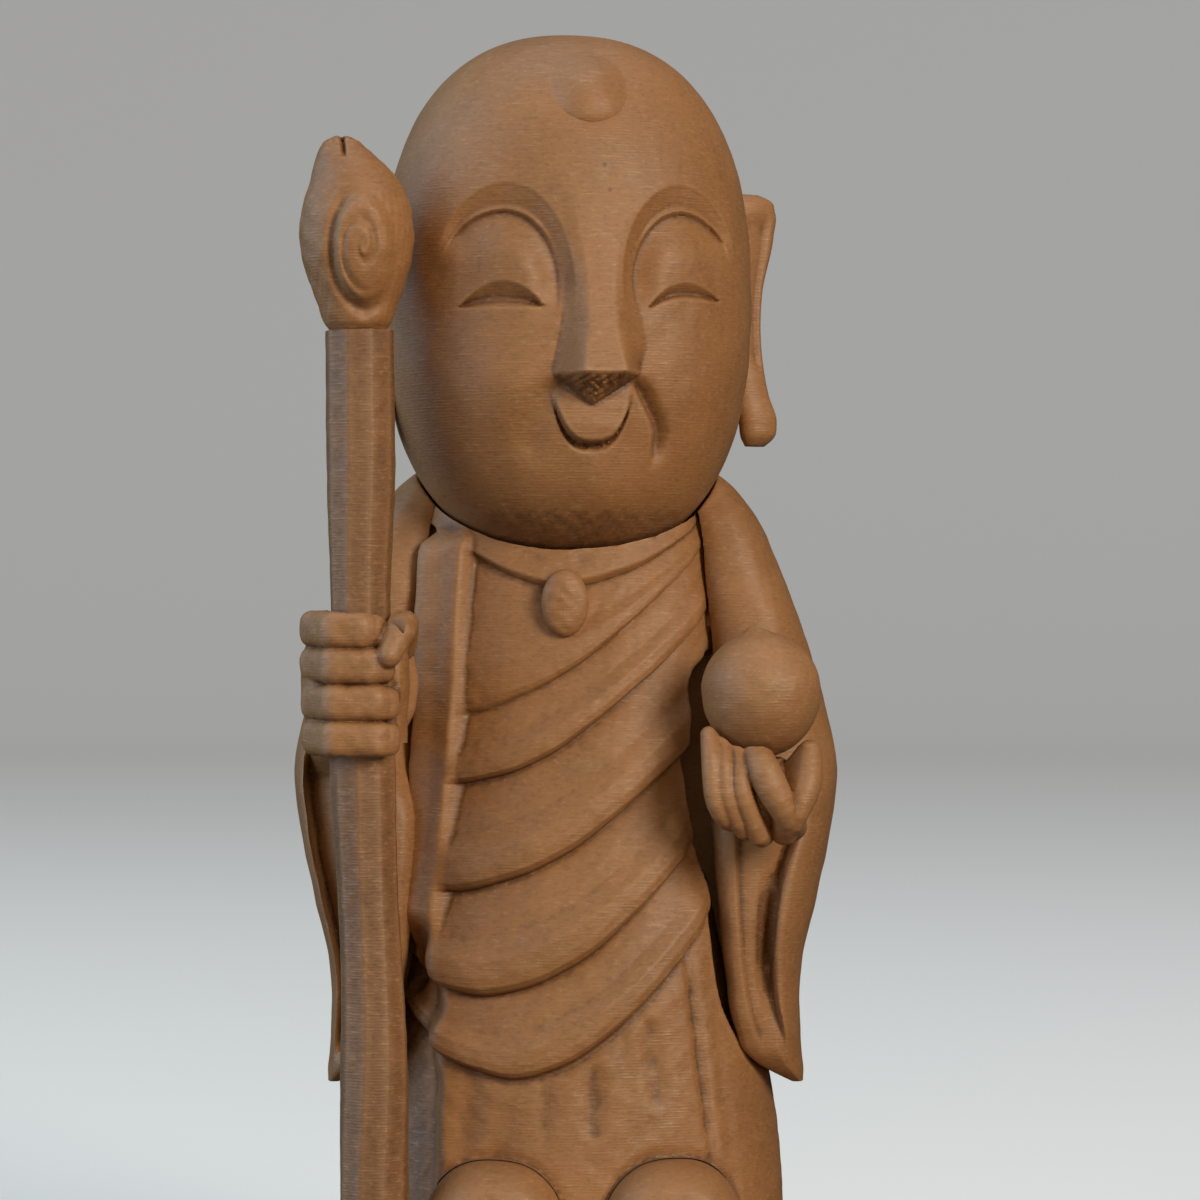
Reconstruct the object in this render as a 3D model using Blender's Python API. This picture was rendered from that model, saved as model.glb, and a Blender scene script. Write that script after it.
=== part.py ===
# Standing jizo figure with a staff and a jewel, on a lotus seat.
# Lengths are in metres, +Z is up and the figure faces -Y. Heights of the figure are measured from its soles.
import math

import bmesh
import bpy
import numpy as np
from mathutils import Matrix, Vector

MM = 0.001

# Fits
GAP = 0.3 * MM                # between two blocks that meet
PEG_FIT = 0.15 * MM           # round a peg in its hole
STAFF_FIT = 0.3 * MM          # round the staff in the fist
FOOT_CLEARANCE = 0.5 * MM     # between a foot and the hem above it

# Base
PLINTH_HEIGHT = 3.2 * MM
PLINTH_LEDGE = 1.4 * MM       # plinth beyond the seat
SEAT_HEIGHT = 5.4 * MM
SEAT_MARGIN = 1.2 * MM        # seat beyond the foot of the staff
PETAL_COUNT = 16
PETAL_RELIEF = 0.9 * MM
SEAT_DOWEL_RADIUS = 2.0 * MM
SEAT_DOWEL_LENGTH = 4.6 * MM

# Head
CHIN_HEIGHT = 46.2 * MM
HEAD_HEIGHT = 36.3 * MM
HEAD_WIDTH = 25.6 * MM
HEAD_DEPTH = 24.6 * MM
HEAD_FORWARD = 2.0 * MM       # head axis in front of the body axis
JAW_FORWARD = 1.8 * MM        # chin in front of the head axis
HEAD_TURN = math.radians(10.5)
HEAD_CURVE = 2.4              # power of the upright outline
HEAD_SECTION = 2.2            # power of the level outline
EAR_THICKNESS = 1.9 * MM
NECK_RADIUS = 2.8 * MM
NECK_IN_BODY = 5.5 * MM
NECK_IN_HEAD = 6.0 * MM
FOREHEAD_JEWEL_RADIUS = 2.4 * MM
FOREHEAD_JEWEL_RISE = 1.1 * MM
FOREHEAD_JEWEL_HEIGHT = 13.8 * MM   # above the middle of the head

# Body
HEM_HEIGHT = 0.6 * MM
SECTION_POWER = 2.3
FRONT_COLUMNS = 29
BACK_COLUMNS = 17
HOLLOW_HALF_WIDTH = 4.0 * MM
HOLLOW_DEPTH = 3.6 * MM
HOLLOW_TOP = 32.0 * MM
FOLD_RELIEF = 0.75 * MM
FOLD_CURVE = 1.67             # how the folds sweep up to the left shoulder
LAPEL_RELIEF = 1.3 * MM
COLLAR_RELIEF = 0.45 * MM
PENDANT_WIDTH = 3.3 * MM
PENDANT_HEIGHT = 4.5 * MM
PENDANT_RISE = 0.9 * MM
PENDANT_DROP = 3.0 * MM       # middle of the pendant below the chin
PIN_RADIUS = 0.5 * MM
PIN_LENGTH = 2.0 * MM
SHOULDER_RISE = 7.8 * MM      # top of the body block above the chin
HEM_HALF_WIDTH = 15.2 * MM
HEM_FRONT = 12.2 * MM         # depth of the hem in front of the body axis
HEM_BACK = 11.0 * MM
BODY_TOP = CHIN_HEIGHT + SHOULDER_RISE
# rows: share of the body's height, of its half-width, of its depth in front and behind
BODY_SHAPE = (
    (0.0111, 1.000, 1.000, 1.000), (0.1056, 0.980, 0.967, 0.982), (0.1981, 0.934, 0.951, 0.955),
    (0.2907, 0.868, 0.934, 0.927), (0.4019, 0.803, 0.918, 0.900), (0.5315, 0.737, 0.869, 0.864),
    (0.6611, 0.697, 0.811, 0.827), (0.8093, 0.684, 0.730, 0.773), (0.9019, 0.645, 0.648, 0.709),
    (1.0000, 0.461, 0.475, 0.527))
BODY_STATIONS = np.array(BODY_SHAPE) * (BODY_TOP, HEM_HALF_WIDTH, HEM_FRONT, HEM_BACK)
# rows: place of the low point across (-1 to 1), its height, rise to the right flank, rise to the left flank
FOLD_LINES = np.array((
    (-0.25, 0.2056, 0.1019, 0.2722), (-0.40, 0.3074, 0.0481, 0.2648), (-0.63, 0.4370, 0.0185, 0.2352),
    (-0.64, 0.5722, 0.0185, 0.2370), (-0.70, 0.6593, 0.0148, 0.2315), (0.00, 0.8185, 0.0926, 0.0926)))
FOLD_LINES = FOLD_LINES * (1.0, BODY_TOP, BODY_TOP, BODY_TOP)

# Arms
ARM_REACH = 18.9 * MM         # widest place of the sleeve from the body axis
ARM_DEPTH = 9.0 * MM          # front of the sleeve before the body axis
ARM_TOP = BODY_TOP - 0.8 * MM
# rows: share of the arm's height, inner side, outer side, front, back
ARM_SHAPE = (
    (0.1767, 0.815, 0.878, -0.467, 0.289), (0.2011, 0.762, 0.878, -0.556, 0.400),
    (0.2575, 0.688, 0.857, -0.733, 0.533), (0.3327, 0.614, 0.862, -0.889, 0.667),
    (0.4267, 0.550, 0.921, -0.978, 0.756), (0.5395, 0.524, 0.984, -1.000, 0.811),
    (0.5959, 0.519, 1.000, -0.944, 0.822), (0.6711, 0.508, 0.963, -0.778, 0.800),
    (0.7462, 0.487, 0.905, -0.689, 0.767), (0.8590, 0.439, 0.788, -0.611, 0.700),
    (0.9342, 0.402, 0.688, -0.444, 0.611), (0.9718, 0.370, 0.598, -0.278, 0.511),
    (1.0000, 0.344, 0.492, -0.056, 0.356))
ARM_STATIONS = np.array(ARM_SHAPE) * (ARM_TOP, ARM_REACH, ARM_REACH, ARM_DEPTH, ARM_DEPTH)
ARM_SECTION = 2.5
CUFF_OUT = 14.6 * MM          # opening of the hanging sleeve, from the body axis
CUFF_FRONT = -8.6 * MM
CUFF_HEIGHT = 21.0 * MM
CUFF_WIDTH = 2.2 * MM
CUFF_DEPTH = 2.4 * MM
CUFF_LENGTH = 17.0 * MM
DOWEL_RADIUS = 0.8 * MM
DOWEL_LENGTH = 6.0 * MM

# Staff
STAFF_AXIS_X = -13.4 * MM     # at the height of the fist
STAFF_LEAN = math.radians(-1.0)
STAFF_RADIUS = 2.25 * MM
STAFF_WAIST = 0.2 * MM        # how much thinner it is at its thinnest
STAFF_SIDES = 12
FINIAL_LEVEL = 61.5 * MM
FINIAL_HEIGHT = 13.0 * MM
FINIAL_RADIUS = 3.83 * MM
FINIAL_FOOT_RADIUS = 2.1 * MM
FINIAL_CLEARANCE = 0.6 * MM   # between finial and head
TENON_RADIUS = 1.2 * MM
TENON_LENGTH = 4.0 * MM

# Right hand
FIST_HEIGHT = 37.7 * MM
FINGER_RADIUS = 1.22 * MM
FINGER_SPACING = 2.46 * MM
FIST_REACH = 3.1 * MM         # finger middle from the staff axis
WRIST_RADIUS = 2.3 * MM
WRIST_IN_SLEEVE = 3.4 * MM
WRIST_DOWEL_LENGTH = 5.6 * MM

# Left hand and jewel
JEWEL_RADIUS = 4.0 * MM
JEWEL_TIP = 0.8 * MM
JEWEL_ACROSS = 13.2 * MM      # middle of the jewel from the body axis
JEWEL_AHEAD = 12.2 * MM
JEWEL_HEIGHT = 37.3 * MM
JEWEL_PEG_RADIUS = 0.8 * MM
JEWEL_PEG_IN_PALM = 1.6 * MM
JEWEL_PEG_IN_JEWEL = 2.6 * MM
SMALL_FINGER_RADIUS = 0.66 * MM

# Feet
FOOT_MIDDLE = 1.3 * MM
FOOT_SPREAD = 6.0 * MM        # from the middle to each foot
FOOT_WIDTH = 9.2 * MM
FOOT_LENGTH = 10.4 * MM
FOOT_RISE = 5.3 * MM
FOOT_PLACE_Y = -11.0 * MM
FOOT_PEG_RADIUS = 1.0 * MM
FOOT_PEG_IN_SEAT = 2.4 * MM
FOOT_PEG_IN_BODY = 4.0 * MM

# Derived places
PENDANT_LEVEL = CHIN_HEIGHT - PENDANT_DROP
JEWEL_PLACE = Vector((JEWEL_ACROSS, -JEWEL_AHEAD, JEWEL_HEIGHT))
HEAD_REACH = HEAD_WIDTH / 2 * 1.03 + FINIAL_RADIUS + FINIAL_CLEARANCE
FINIAL_X = STAFF_AXIS_X + (FINIAL_LEVEL + FINIAL_HEIGHT / 2 - FIST_HEIGHT) * math.tan(STAFF_LEAN)
STAFF_AXIS_Y = -HEAD_FORWARD - math.sqrt(HEAD_REACH ** 2 - FINIAL_X ** 2)
STAFF_FOOT_X = STAFF_AXIS_X - FIST_HEIGHT * math.tan(STAFF_LEAN)
SEAT_RADIUS = math.hypot(STAFF_FOOT_X, STAFF_AXIS_Y) + STAFF_RADIUS + SEAT_MARGIN
PLINTH_RADIUS = SEAT_RADIUS + PLINTH_LEDGE
SEAT_LEVEL = PLINTH_HEIGHT + GAP
SOLES = SEAT_LEVEL + SEAT_HEIGHT + GAP


def clear_scene():
    for item in list(bpy.data.objects):
        bpy.data.objects.remove(item, do_unlink=True)


def make_material(name, colour, roughness):
    material = bpy.data.materials.new(name)
    material.use_nodes = True
    shader = material.node_tree.nodes["Principled BSDF"]
    shader.inputs["Base Color"].default_value = (*colour, 1.0)
    shader.inputs["Roughness"].default_value = roughness
    shader.inputs["Metallic"].default_value = 0.0
    return material


def make_empty(name, place, parent=None, turn=(0.0, 0.0, 0.0)):
    empty = bpy.data.objects.new(name, None)
    empty.location = place
    empty.rotation_euler = turn
    empty.parent = parent
    bpy.context.collection.objects.link(empty)
    return empty


def add_object(name, bm, parent, material=None):
    # Without a material the object is a cutter, shown as wire and left out of renders.
    bmesh.ops.recalc_face_normals(bm, faces=bm.faces[:])
    mesh = bpy.data.meshes.new(name)
    bm.to_mesh(mesh)
    bm.free()
    mesh.shade_smooth()
    mesh.set_sharp_from_angle(angle=math.radians(40))
    item = bpy.data.objects.new(name, mesh)
    item.parent = parent
    bpy.context.collection.objects.link(item)
    if material is None:
        item.hide_render = True
        item.display_type = "WIRE"
    else:
        mesh.materials.append(material)
    return item


def combine(target, tool, operation):
    modifier = target.modifiers.new(operation.lower(), "BOOLEAN")
    modifier.operation = operation
    modifier.object = tool
    modifier.solver = "EXACT"


def cut(target, *tools):
    for tool in tools:
        combine(target, tool, "DIFFERENCE")


def ease(low, high, value):
    # Smooth step from 0 at low to 1 at high.
    t = np.clip((value - low) / (high - low), 0.0, 1.0)
    return t * t * (3.0 - 2.0 * t)


def smooth_profile(stations, heights):
    # Values at the heights, on a smooth curve through the stations, whose first column is the height.
    heights = np.asarray(heights, float)
    flat = np.clip(heights.ravel(), stations[0, 0], stations[-1, 0])
    knots, values = stations[:, 0], stations[:, 1:]
    slopes = np.gradient(values, knots, axis=0)
    index = np.clip(np.searchsorted(knots, flat) - 1, 0, len(knots) - 2)
    span = (knots[index + 1] - knots[index])[:, None]
    t = (flat - knots[index])[:, None] / span
    result = (values[index] * (1 + 2 * t) * (1 - t) ** 2 + values[index + 1] * t * t * (3 - 2 * t)
              + span * (slopes[index] * t * (1 - t) ** 2 - slopes[index + 1] * t * t * (1 - t)))
    return [result[:, k].reshape(heights.shape) for k in range(values.shape[1])]


def unit_section(angles, power):
    # Superellipse of half-width 1: angle 0 is the front (-Y), a quarter turn is +X.
    across, ahead = np.sin(angles), np.cos(angles)
    return (np.sign(across) * np.abs(across) ** (2 / power), np.sign(ahead) * np.abs(ahead) ** (2 / power))


def skin(rings, first="flat", last="flat"):
    # Mesh over a stack of rings, each closed with a flat face or drawn to a point.
    bm = bmesh.new()
    loops = [[bm.verts.new(point) for point in ring] for ring in rings]
    for low, high in zip(loops, loops[1:]):
        for k in range(len(low)):
            n = (k + 1) % len(low)
            bm.faces.new((low[k], low[n], high[n], high[k]))
    for loop, style, outward in ((loops[0], first, -1), (loops[-1], last, 1)):
        if style == "flat":
            bm.faces.new(loop[::outward])
        else:
            tip = bm.verts.new(np.mean([vertex.co for vertex in loop], axis=0))
            for k in range(len(loop)):
                n = (k + 1) % len(loop)
                bm.faces.new((loop[k], loop[n], tip)[::outward])
    return bm


def turned(profile, sides, turn=0.0):
    # Solid of revolution about Z: rows of radius and height from bottom to top.
    angles = np.arange(sides) * 2 * math.pi / sides + turn
    rings = [np.stack([radius * np.sin(angles), -radius * np.cos(angles), np.full(sides, height)], axis=1)
             for radius, height in profile]
    return skin(rings)


def rod(start, end, radius, sides=12):
    start, end = Vector(start), Vector(end)
    along = end - start
    bm = bmesh.new()
    bmesh.ops.create_cone(bm, cap_ends=True, segments=sides, radius1=radius, radius2=radius, depth=along.length)
    turn = along.to_track_quat("Z", "Y").to_matrix().to_4x4()
    bmesh.ops.transform(bm, matrix=Matrix.Translation((start + end) / 2) @ turn, verts=bm.verts[:])
    return bm


def peg(name, start, end, radius, parent, material, sides=12):
    # A peg and the cutter for its hole, longer by the gap at each end.
    start, end = Vector(start), Vector(end)
    along = (end - start).normalized()
    add_object(name, rod(start, end, radius, sides), parent, material)
    hole = rod(start - along * GAP, end + along * GAP, radius + PEG_FIT, sides)
    return add_object(name + "_hole", hole, parent)


def ball(centre, radii, segments=12, rings=8):
    bm = bmesh.new()
    bmesh.ops.create_uvsphere(bm, u_segments=segments, v_segments=rings, radius=1.0)
    bmesh.ops.scale(bm, vec=radii, verts=bm.verts[:])
    bmesh.ops.translate(bm, vec=centre, verts=bm.verts[:])
    return bm


def tube(points, radii, sides=8):
    # Round limb along a smooth curve through the points, with rounded ends.
    points, radii = np.array(points, float), np.array(radii, float)
    knots = np.arange(len(points), dtype=float)
    table = np.column_stack([knots, points, radii])
    at = np.linspace(0, len(points) - 1, 2 * (len(points) - 1) + 1)
    x, y, z, r = smooth_profile(table, at)
    path = np.stack([x, y, z], axis=1)
    along = np.gradient(path, axis=0)
    along /= np.linalg.norm(along, axis=1)[:, None]
    path = np.vstack([path[0] - along[0] * r[0] * 0.7, path[0] - along[0] * r[0] * 0.35, path,
                      path[-1] + along[-1] * r[-1] * 0.35, path[-1] + along[-1] * r[-1] * 0.7])
    along = np.vstack([along[:1], along[:1], along, along[-1:], along[-1:]])
    r = np.concatenate([[r[0] * 0.5, r[0] * 0.85], r, [r[-1] * 0.85, r[-1] * 0.5]])
    side = np.cross(along[0], (0.0, 0.0, 1.0) if abs(along[0][2]) < 0.8 else (0.0, 1.0, 0.0))
    angles = np.arange(sides) * 2 * math.pi / sides
    rings = []
    for middle, direction, radius in zip(path, along, r):
        side = side - direction * np.dot(side, direction)
        side /= np.linalg.norm(side)
        up = np.cross(direction, side)
        rings.append(middle + radius * (np.cos(angles)[:, None] * side + np.sin(angles)[:, None] * up))
    return skin(rings)


def face_relief(x, z):
    # Height of the carved face over the plain head; x across from the nose, z up from the middle of the head.
    unit = HEAD_WIDTH / 25.6
    x, z = x / unit, z / unit
    side = np.abs(x)
    # Eye sockets: a band falls in from the brow to the fold over the lid, and the lid swells out of it.
    brow = np.hypot((side - 5.95) / 4.5, z / 7.1)
    lid = np.hypot((side - 6.1) / 3.9, z / 5.0)
    band = np.clip((lid - 1) / np.maximum(lid - brow, 0.001), 0, 1)
    socket = -1.15 * np.where(lid > 1, 1 - band, 0.75 * lid ** 2) * (brow < 1) * ease(-3.0, 0.5, z)
    socket = socket * ease(10.6, 8.4, side)
    across = np.clip((side - 6.25) / 2.6, -1.2, 1.2)
    bow = np.clip(1 - across ** 2, 0, None)
    slit = -0.6 * ease(1.3, 0.6, np.abs(z + 1.25 - 1.65 * (1 - across ** 2)) / (0.45 * bow ** 0.5 + 0.12))
    slit = slit * ease(1.1, 0.9, np.abs(across))
    # Nose with its slanting underside
    rows = (-5.9, -3.0, 0.0, 3.0, 6.5)
    ridge, foot = np.interp(z, rows, (1.5, 1.0, 0.9, 1.2, 1.8)), np.interp(z, rows, (2.9, 2.4, 2.0, 2.1, 2.6))
    lower = 0.7 * side - 7.8
    under = np.clip((z - lower) / np.maximum(-5.9 - lower, 0.05), 0, 1)
    nose = np.interp(z, rows, (2.3, 1.5, 0.8, 0.3, 0.0)) * ease(foot, ridge, side) * under
    # Round upper lip, the mouth under it, smile folds, cheeks and chin
    edge = 2.4 * (side / 2.45) ** 2.4 - 10.75
    lip = 0.8 * ease(edge - 0.5, edge + 1.1, z) * ease(3.3, 1.8, side) * ease(-6.8, -8.4, z)
    mouth = -0.45 * np.exp(-((z - edge + 0.7) / 0.8) ** 2) * ease(3.3, 1.8, side)
    crease = np.interp(z, (-10.8, -9.9, -8.9, -7.9, -7.2), (4.4, 4.25, 4.0, 3.6, 2.9))
    smile = -0.35 * np.exp(-((side - crease) / 0.5) ** 2) * ease(-11.2, -9.8, z) * ease(-6.4, -7.4, z)
    cheek = 0.5 * np.exp(-((side - 7.0) / 3.4) ** 2 - ((z + 6.5) / 3.6) ** 2)
    chin = 0.35 * np.exp(-(x / 3.0) ** 2 - ((z + 14.0) / 2.2) ** 2)
    return (socket + slit + nose + lip + mouth + smile + cheek + chin) * unit


def head_point(angles, up):
    # Point on the plain head in its own frame: level angle from the front, height from -1 (chin) to 1 (crown).
    across, ahead = unit_section(angles, HEAD_SECTION)
    flat = (1 - abs(up) ** HEAD_CURVE) ** (1 / HEAD_CURVE)
    x = HEAD_WIDTH / 2 * flat * across
    y = -HEAD_DEPTH / 2 * flat * ahead - JAW_FORWARD * np.clip(-up, 0, 1) ** 2
    return x, y, HEAD_HEIGHT / 2 * (up + 1) + 0.0 * x


def head_underside(x, y):
    # Height over the soles of the lower half of the head at a place of the figure, or far above beyond it.
    turn_cos, turn_sin = math.cos(HEAD_TURN), math.sin(HEAD_TURN)
    ahead = y + HEAD_FORWARD
    own_x, own_y = x * turn_cos + ahead * turn_sin, ahead * turn_cos - x * turn_sin
    up = np.full(np.shape(x), -0.9)
    for _ in range(12):
        reach = (np.abs(own_x) / (HEAD_WIDTH / 2)) ** HEAD_SECTION
        reach = reach + (np.abs(own_y + JAW_FORWARD * up ** 2) / (HEAD_DEPTH / 2)) ** HEAD_SECTION
        inside = np.clip(1 - reach ** (HEAD_CURVE / HEAD_SECTION), 0, 1)
        up = 0.5 * up - 0.5 * inside ** (1 / HEAD_CURVE)
    level = CHIN_HEIGHT + HEAD_HEIGHT / 2 * (up + 1)
    return np.where(inside > 0, level, CHIN_HEIGHT + HEAD_HEIGHT / 2)


def fold_height(line, across):
    # Height of one fold line at a place across the body, from its low point up to each flank.
    low, level, to_right, to_left = line
    left = to_left * np.clip((across - low) / (1 - low), 0, None) ** FOLD_CURVE
    right = to_right * np.clip((low - across) / (1 + low + 1e-9), 0, None) ** FOLD_CURVE
    return level + left + right


def fold_relief(part):
    # Relief of one strip of cloth from its lower lip (0) to the next lip (1).
    return FOLD_RELIEF * np.interp(part, (0.0, 0.08, 0.3, 0.58, 1.0), (0.0, 0.85, 1.0, 0.35, 0.0))


def body_levels(across, front):
    # Rings from hem to shoulders: height and relief at each place across.
    hem = np.full(across.shape, HEM_HEIGHT)
    first = fold_height(FOLD_LINES[0], across)
    fade = ease(0.95, 0.75, np.abs(across))
    levels, reliefs = [], []
    waves = np.cos(across * 15.0 + 0.6) + 0.6 * np.cos(across * 26.0 - 1.0)
    for part in (0.0, 0.2, 0.5, 0.8, 0.97):
        levels.append(hem + part * (first - hem))
        reliefs.append(0.4 * FOLD_RELIEF * waves * fade * (1 - part) ** 0.5 if front else np.zeros(across.shape))
    for low, high in zip(FOLD_LINES, FOLD_LINES[1:]):
        bottom, top = fold_height(low, across), fold_height(high, across)
        for part in (0.0, 0.08, 0.3, 0.58):
            levels.append(bottom + part * (top - bottom))
            reliefs.append(fold_relief(part) * fade)
    top = fold_height(FOLD_LINES[-1], across)
    for part in (0.0, 0.06, 0.4, 1.0):
        levels.append(top + part * (BODY_STATIONS[-1, 0] - top))
        reliefs.append(COLLAR_RELIEF * fade * float(0.0 < part < 1.0))
    levels, reliefs = np.array(levels), np.array(reliefs)
    if front:
        lapel = ease(0.14, 0.07, np.abs(across + 0.76))
        share = levels / BODY_TOP
        upright = ease(0.352, 0.407, share) * ease(0.926, 0.852, share) * lapel
        reliefs = reliefs * (1 - upright) + LAPEL_RELIEF * upright
    return levels, reliefs


def body_outline(levels, across, ahead, reliefs=0.0):
    half_width, front, back = smooth_profile(BODY_STATIONS, levels)
    depth = np.where(ahead > 0, front, back)
    way_x = np.sign(across) * np.abs(across) ** (SECTION_POWER - 1) / half_width
    way_y = -np.sign(ahead) * np.abs(ahead) ** (SECTION_POWER - 1) / depth
    size = np.hypot(way_x, way_y)
    return half_width * across + reliefs * way_x / size, -depth * ahead + reliefs * way_y / size


def half_outline(front, grow=0.0):
    # Level lines of one half of the body, from flank to flank: x, y and height.
    count = FRONT_COLUMNS if front else BACK_COLUMNS
    angles = (-math.pi / 2 if front else math.pi / 2) + np.linspace(0, math.pi, count)
    across, ahead = unit_section(angles, SECTION_POWER)
    ahead = np.abs(ahead) * (1 if front else -1)
    levels, reliefs = body_levels(across, front)
    x, y = body_outline(levels, across, ahead, reliefs + grow)
    return x, y, levels


def body_half(front):
    # One half of the body as rings: its outer arc and, along the joint plane, the hollow.
    towards = -1 if front else 1
    hollow_turn = np.linspace(0, math.pi, 7)
    rings = []
    for x, y, level in zip(*half_outline(front)):
        y = towards * np.maximum(towards * y, GAP / 2)
        open_part = ease(HOLLOW_TOP, HOLLOW_TOP - HOLLOW_DEPTH, level.mean())
        inner_x = towards * -HOLLOW_HALF_WIDTH * np.cos(hollow_turn)
        inner_y = towards * (GAP / 2 + HOLLOW_DEPTH * open_part * np.sin(hollow_turn))
        inner_z = np.interp(inner_x, x[::-towards], level[::-towards])
        rings.append(np.column_stack([np.append(x, inner_x), np.append(y, inner_y), np.append(level, inner_z)]))
    return skin(rings)


def body_room(figure):
    # The body grown by the gap, to cut the seats of the arms.
    rings = []
    for front, back in zip(zip(*half_outline(True, GAP)), zip(*half_outline(False, GAP))):
        rings.append(np.column_stack([np.concatenate([a, b[1:-1]]) for a, b in zip(front, back)]))
    return add_object("body_room", skin(rings), figure)


def arm_rings(side):
    heights = np.linspace(ARM_STATIONS[0, 0], ARM_STATIONS[-1, 0], 18)
    angles = np.arange(22) * 2 * math.pi / 22
    across, ahead = unit_section(angles, ARM_SECTION)
    rings = []
    for height in heights:
        inner, outer, front, back = (float(v) for v in smooth_profile(ARM_STATIONS, height))
        x = (inner + outer) / 2 + (outer - inner) / 2 * across
        y = (front + back) / 2 - (back - front) / 2 * ahead
        # The inner side lies along the body.
        half_width, body_front, body_back = (float(v) + 1.5 * GAP for v in smooth_profile(BODY_STATIONS, height))
        depth = np.where(y < 0, body_front, body_back)
        inside = (np.abs(x) / half_width) ** SECTION_POWER + (np.abs(y) / depth) ** SECTION_POWER
        push = np.where(inside < 1, inside ** (-1 / SECTION_POWER), 1.0)
        x, y = x * push * side, y * push
        rings.append(np.column_stack([x, y, np.full(x.shape, height)])[::side])
    return rings


def make_base(parent, paint):
    ledge = PLINTH_RADIUS - SEAT_RADIUS
    plinth = add_object("plinth", turned((
        (PLINTH_RADIUS - 0.12 * PLINTH_HEIGHT, 0.0), (PLINTH_RADIUS, 0.12 * PLINTH_HEIGHT), (PLINTH_RADIUS, 0.45 * PLINTH_HEIGHT),
        (PLINTH_RADIUS - 0.5 * ledge, 0.6 * PLINTH_HEIGHT), (SEAT_RADIUS, PLINTH_HEIGHT)), 48), parent, paint)
    angles = np.arange(PETAL_COUNT * 4) * 2 * math.pi / (PETAL_COUNT * 4)
    scallop = 1 - np.abs(np.sin(angles * PETAL_COUNT / 2)) ** 3
    rings = []
    for radius, height, relief in ((0.93, 0.0, 0.2), (0.965, 0.18, 0.7), (0.985, 0.45, 1.0),
                                   (0.99, 0.75, 0.8), (0.965, 1.0, 0.3)):
        reach = SEAT_RADIUS * radius - PETAL_RELIEF * relief * (1 - scallop) + PETAL_RELIEF * relief * 0.2
        rings.append(np.column_stack([reach * np.sin(angles), -reach * np.cos(angles),
                                      np.full(angles.shape, SEAT_LEVEL + height * SEAT_HEIGHT)]))
    seat = add_object("lotus_seat", skin(rings), parent, paint)
    middle = SEAT_LEVEL - GAP / 2
    hole = peg("seat_dowel", (0, 0, middle - SEAT_DOWEL_LENGTH / 2), (0, 0, middle + SEAT_DOWEL_LENGTH / 2),
               SEAT_DOWEL_RADIUS, parent, paint)
    cut(plinth, hole)
    cut(seat, hole)
    return seat


def foot_rings(grow):
    angles = np.arange(24) * 2 * math.pi / 24
    across, ahead = unit_section(angles, 2.4)
    rings = []
    for tilt in np.radians((0.0, 22.0, 44.0, 64.0, 80.0)):
        flat, up = math.cos(tilt) ** 0.8, math.sin(tilt)
        base = -grow * 4 if tilt == 0.0 else 0.0
        rings.append(np.column_stack([(FOOT_WIDTH / 2 * flat + grow) * across,
                                      -(FOOT_LENGTH / 2 * flat + grow) * ahead,
                                      np.full(24, (FOOT_RISE + grow) * up + base)]))
    return rings


def make_feet(figure, paint, seat, body):
    for side, name in ((-1, "right_foot"), (1, "left_foot")):
        place = np.array((FOOT_MIDDLE + side * FOOT_SPREAD, FOOT_PLACE_Y, 0.0))
        foot = add_object(name, skin([ring + place for ring in foot_rings(0.0)], last="point"), figure, paint)
        pocket = skin([ring + place for ring in foot_rings(FOOT_CLEARANCE)], last="point")
        cut(body, add_object(name + "_pocket", pocket, figure))
        stand = Vector((place[0], -0.72 * BODY_STATIONS[0, 2], 0.0))
        hole = peg(name + "_peg", stand - Vector((0, 0, FOOT_PEG_IN_SEAT)),
                   stand + Vector((0, 0, FOOT_RISE + FOOT_CLEARANCE + FOOT_PEG_IN_BODY)), FOOT_PEG_RADIUS,
                   figure, paint)
        for item in (foot, seat, body):
            cut(item, hole)


def make_body(figure, paint):
    front = add_object("body_front", body_half(True), figure, paint)
    back = add_object("body_back", body_half(False), figure, paint)
    number = 1
    for level in (0.167 * BODY_TOP, 0.518 * BODY_TOP):
        for side in (-1, 1):
            x = side * 1.75 * HOLLOW_HALF_WIDTH
            hole = peg("body_dowel_%d" % number, (x, -DOWEL_LENGTH / 2, level), (x, DOWEL_LENGTH / 2, level),
                       DOWEL_RADIUS, figure, paint)
            cut(front, hole)
            cut(back, hole)
            number += 1
    return front, back


def make_arm(side, name, figure, paint, front, back):
    arm = add_object(name, skin(arm_rings(side)), figure, paint)
    pocket = ball((side * CUFF_OUT, CUFF_FRONT, CUFF_HEIGHT), (CUFF_WIDTH / 2, CUFF_DEPTH, CUFF_LENGTH / 2), 12, 10)
    cut(arm, add_object(name + "_cuff", pocket, figure))
    off = 4 * DOWEL_RADIUS
    for number, (share, y, half) in enumerate(((0.778, -off, front), (0.611, off, back)), 1):
        level = share * BODY_TOP
        half_width, ahead, behind = (float(v) for v in smooth_profile(BODY_STATIONS, level))
        depth = ahead if y < 0 else behind
        joint = half_width * (1 - (abs(y) / depth) ** SECTION_POWER) ** (1 / SECTION_POWER) + GAP / 2
        hole = peg("%s_dowel_%d" % (name, number), (side * (joint - DOWEL_LENGTH / 2), y, level),
                   (side * (joint + DOWEL_LENGTH / 2), y, level), DOWEL_RADIUS, figure, paint)
        cut(arm, hole)
        cut(half, hole)
    return arm


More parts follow.
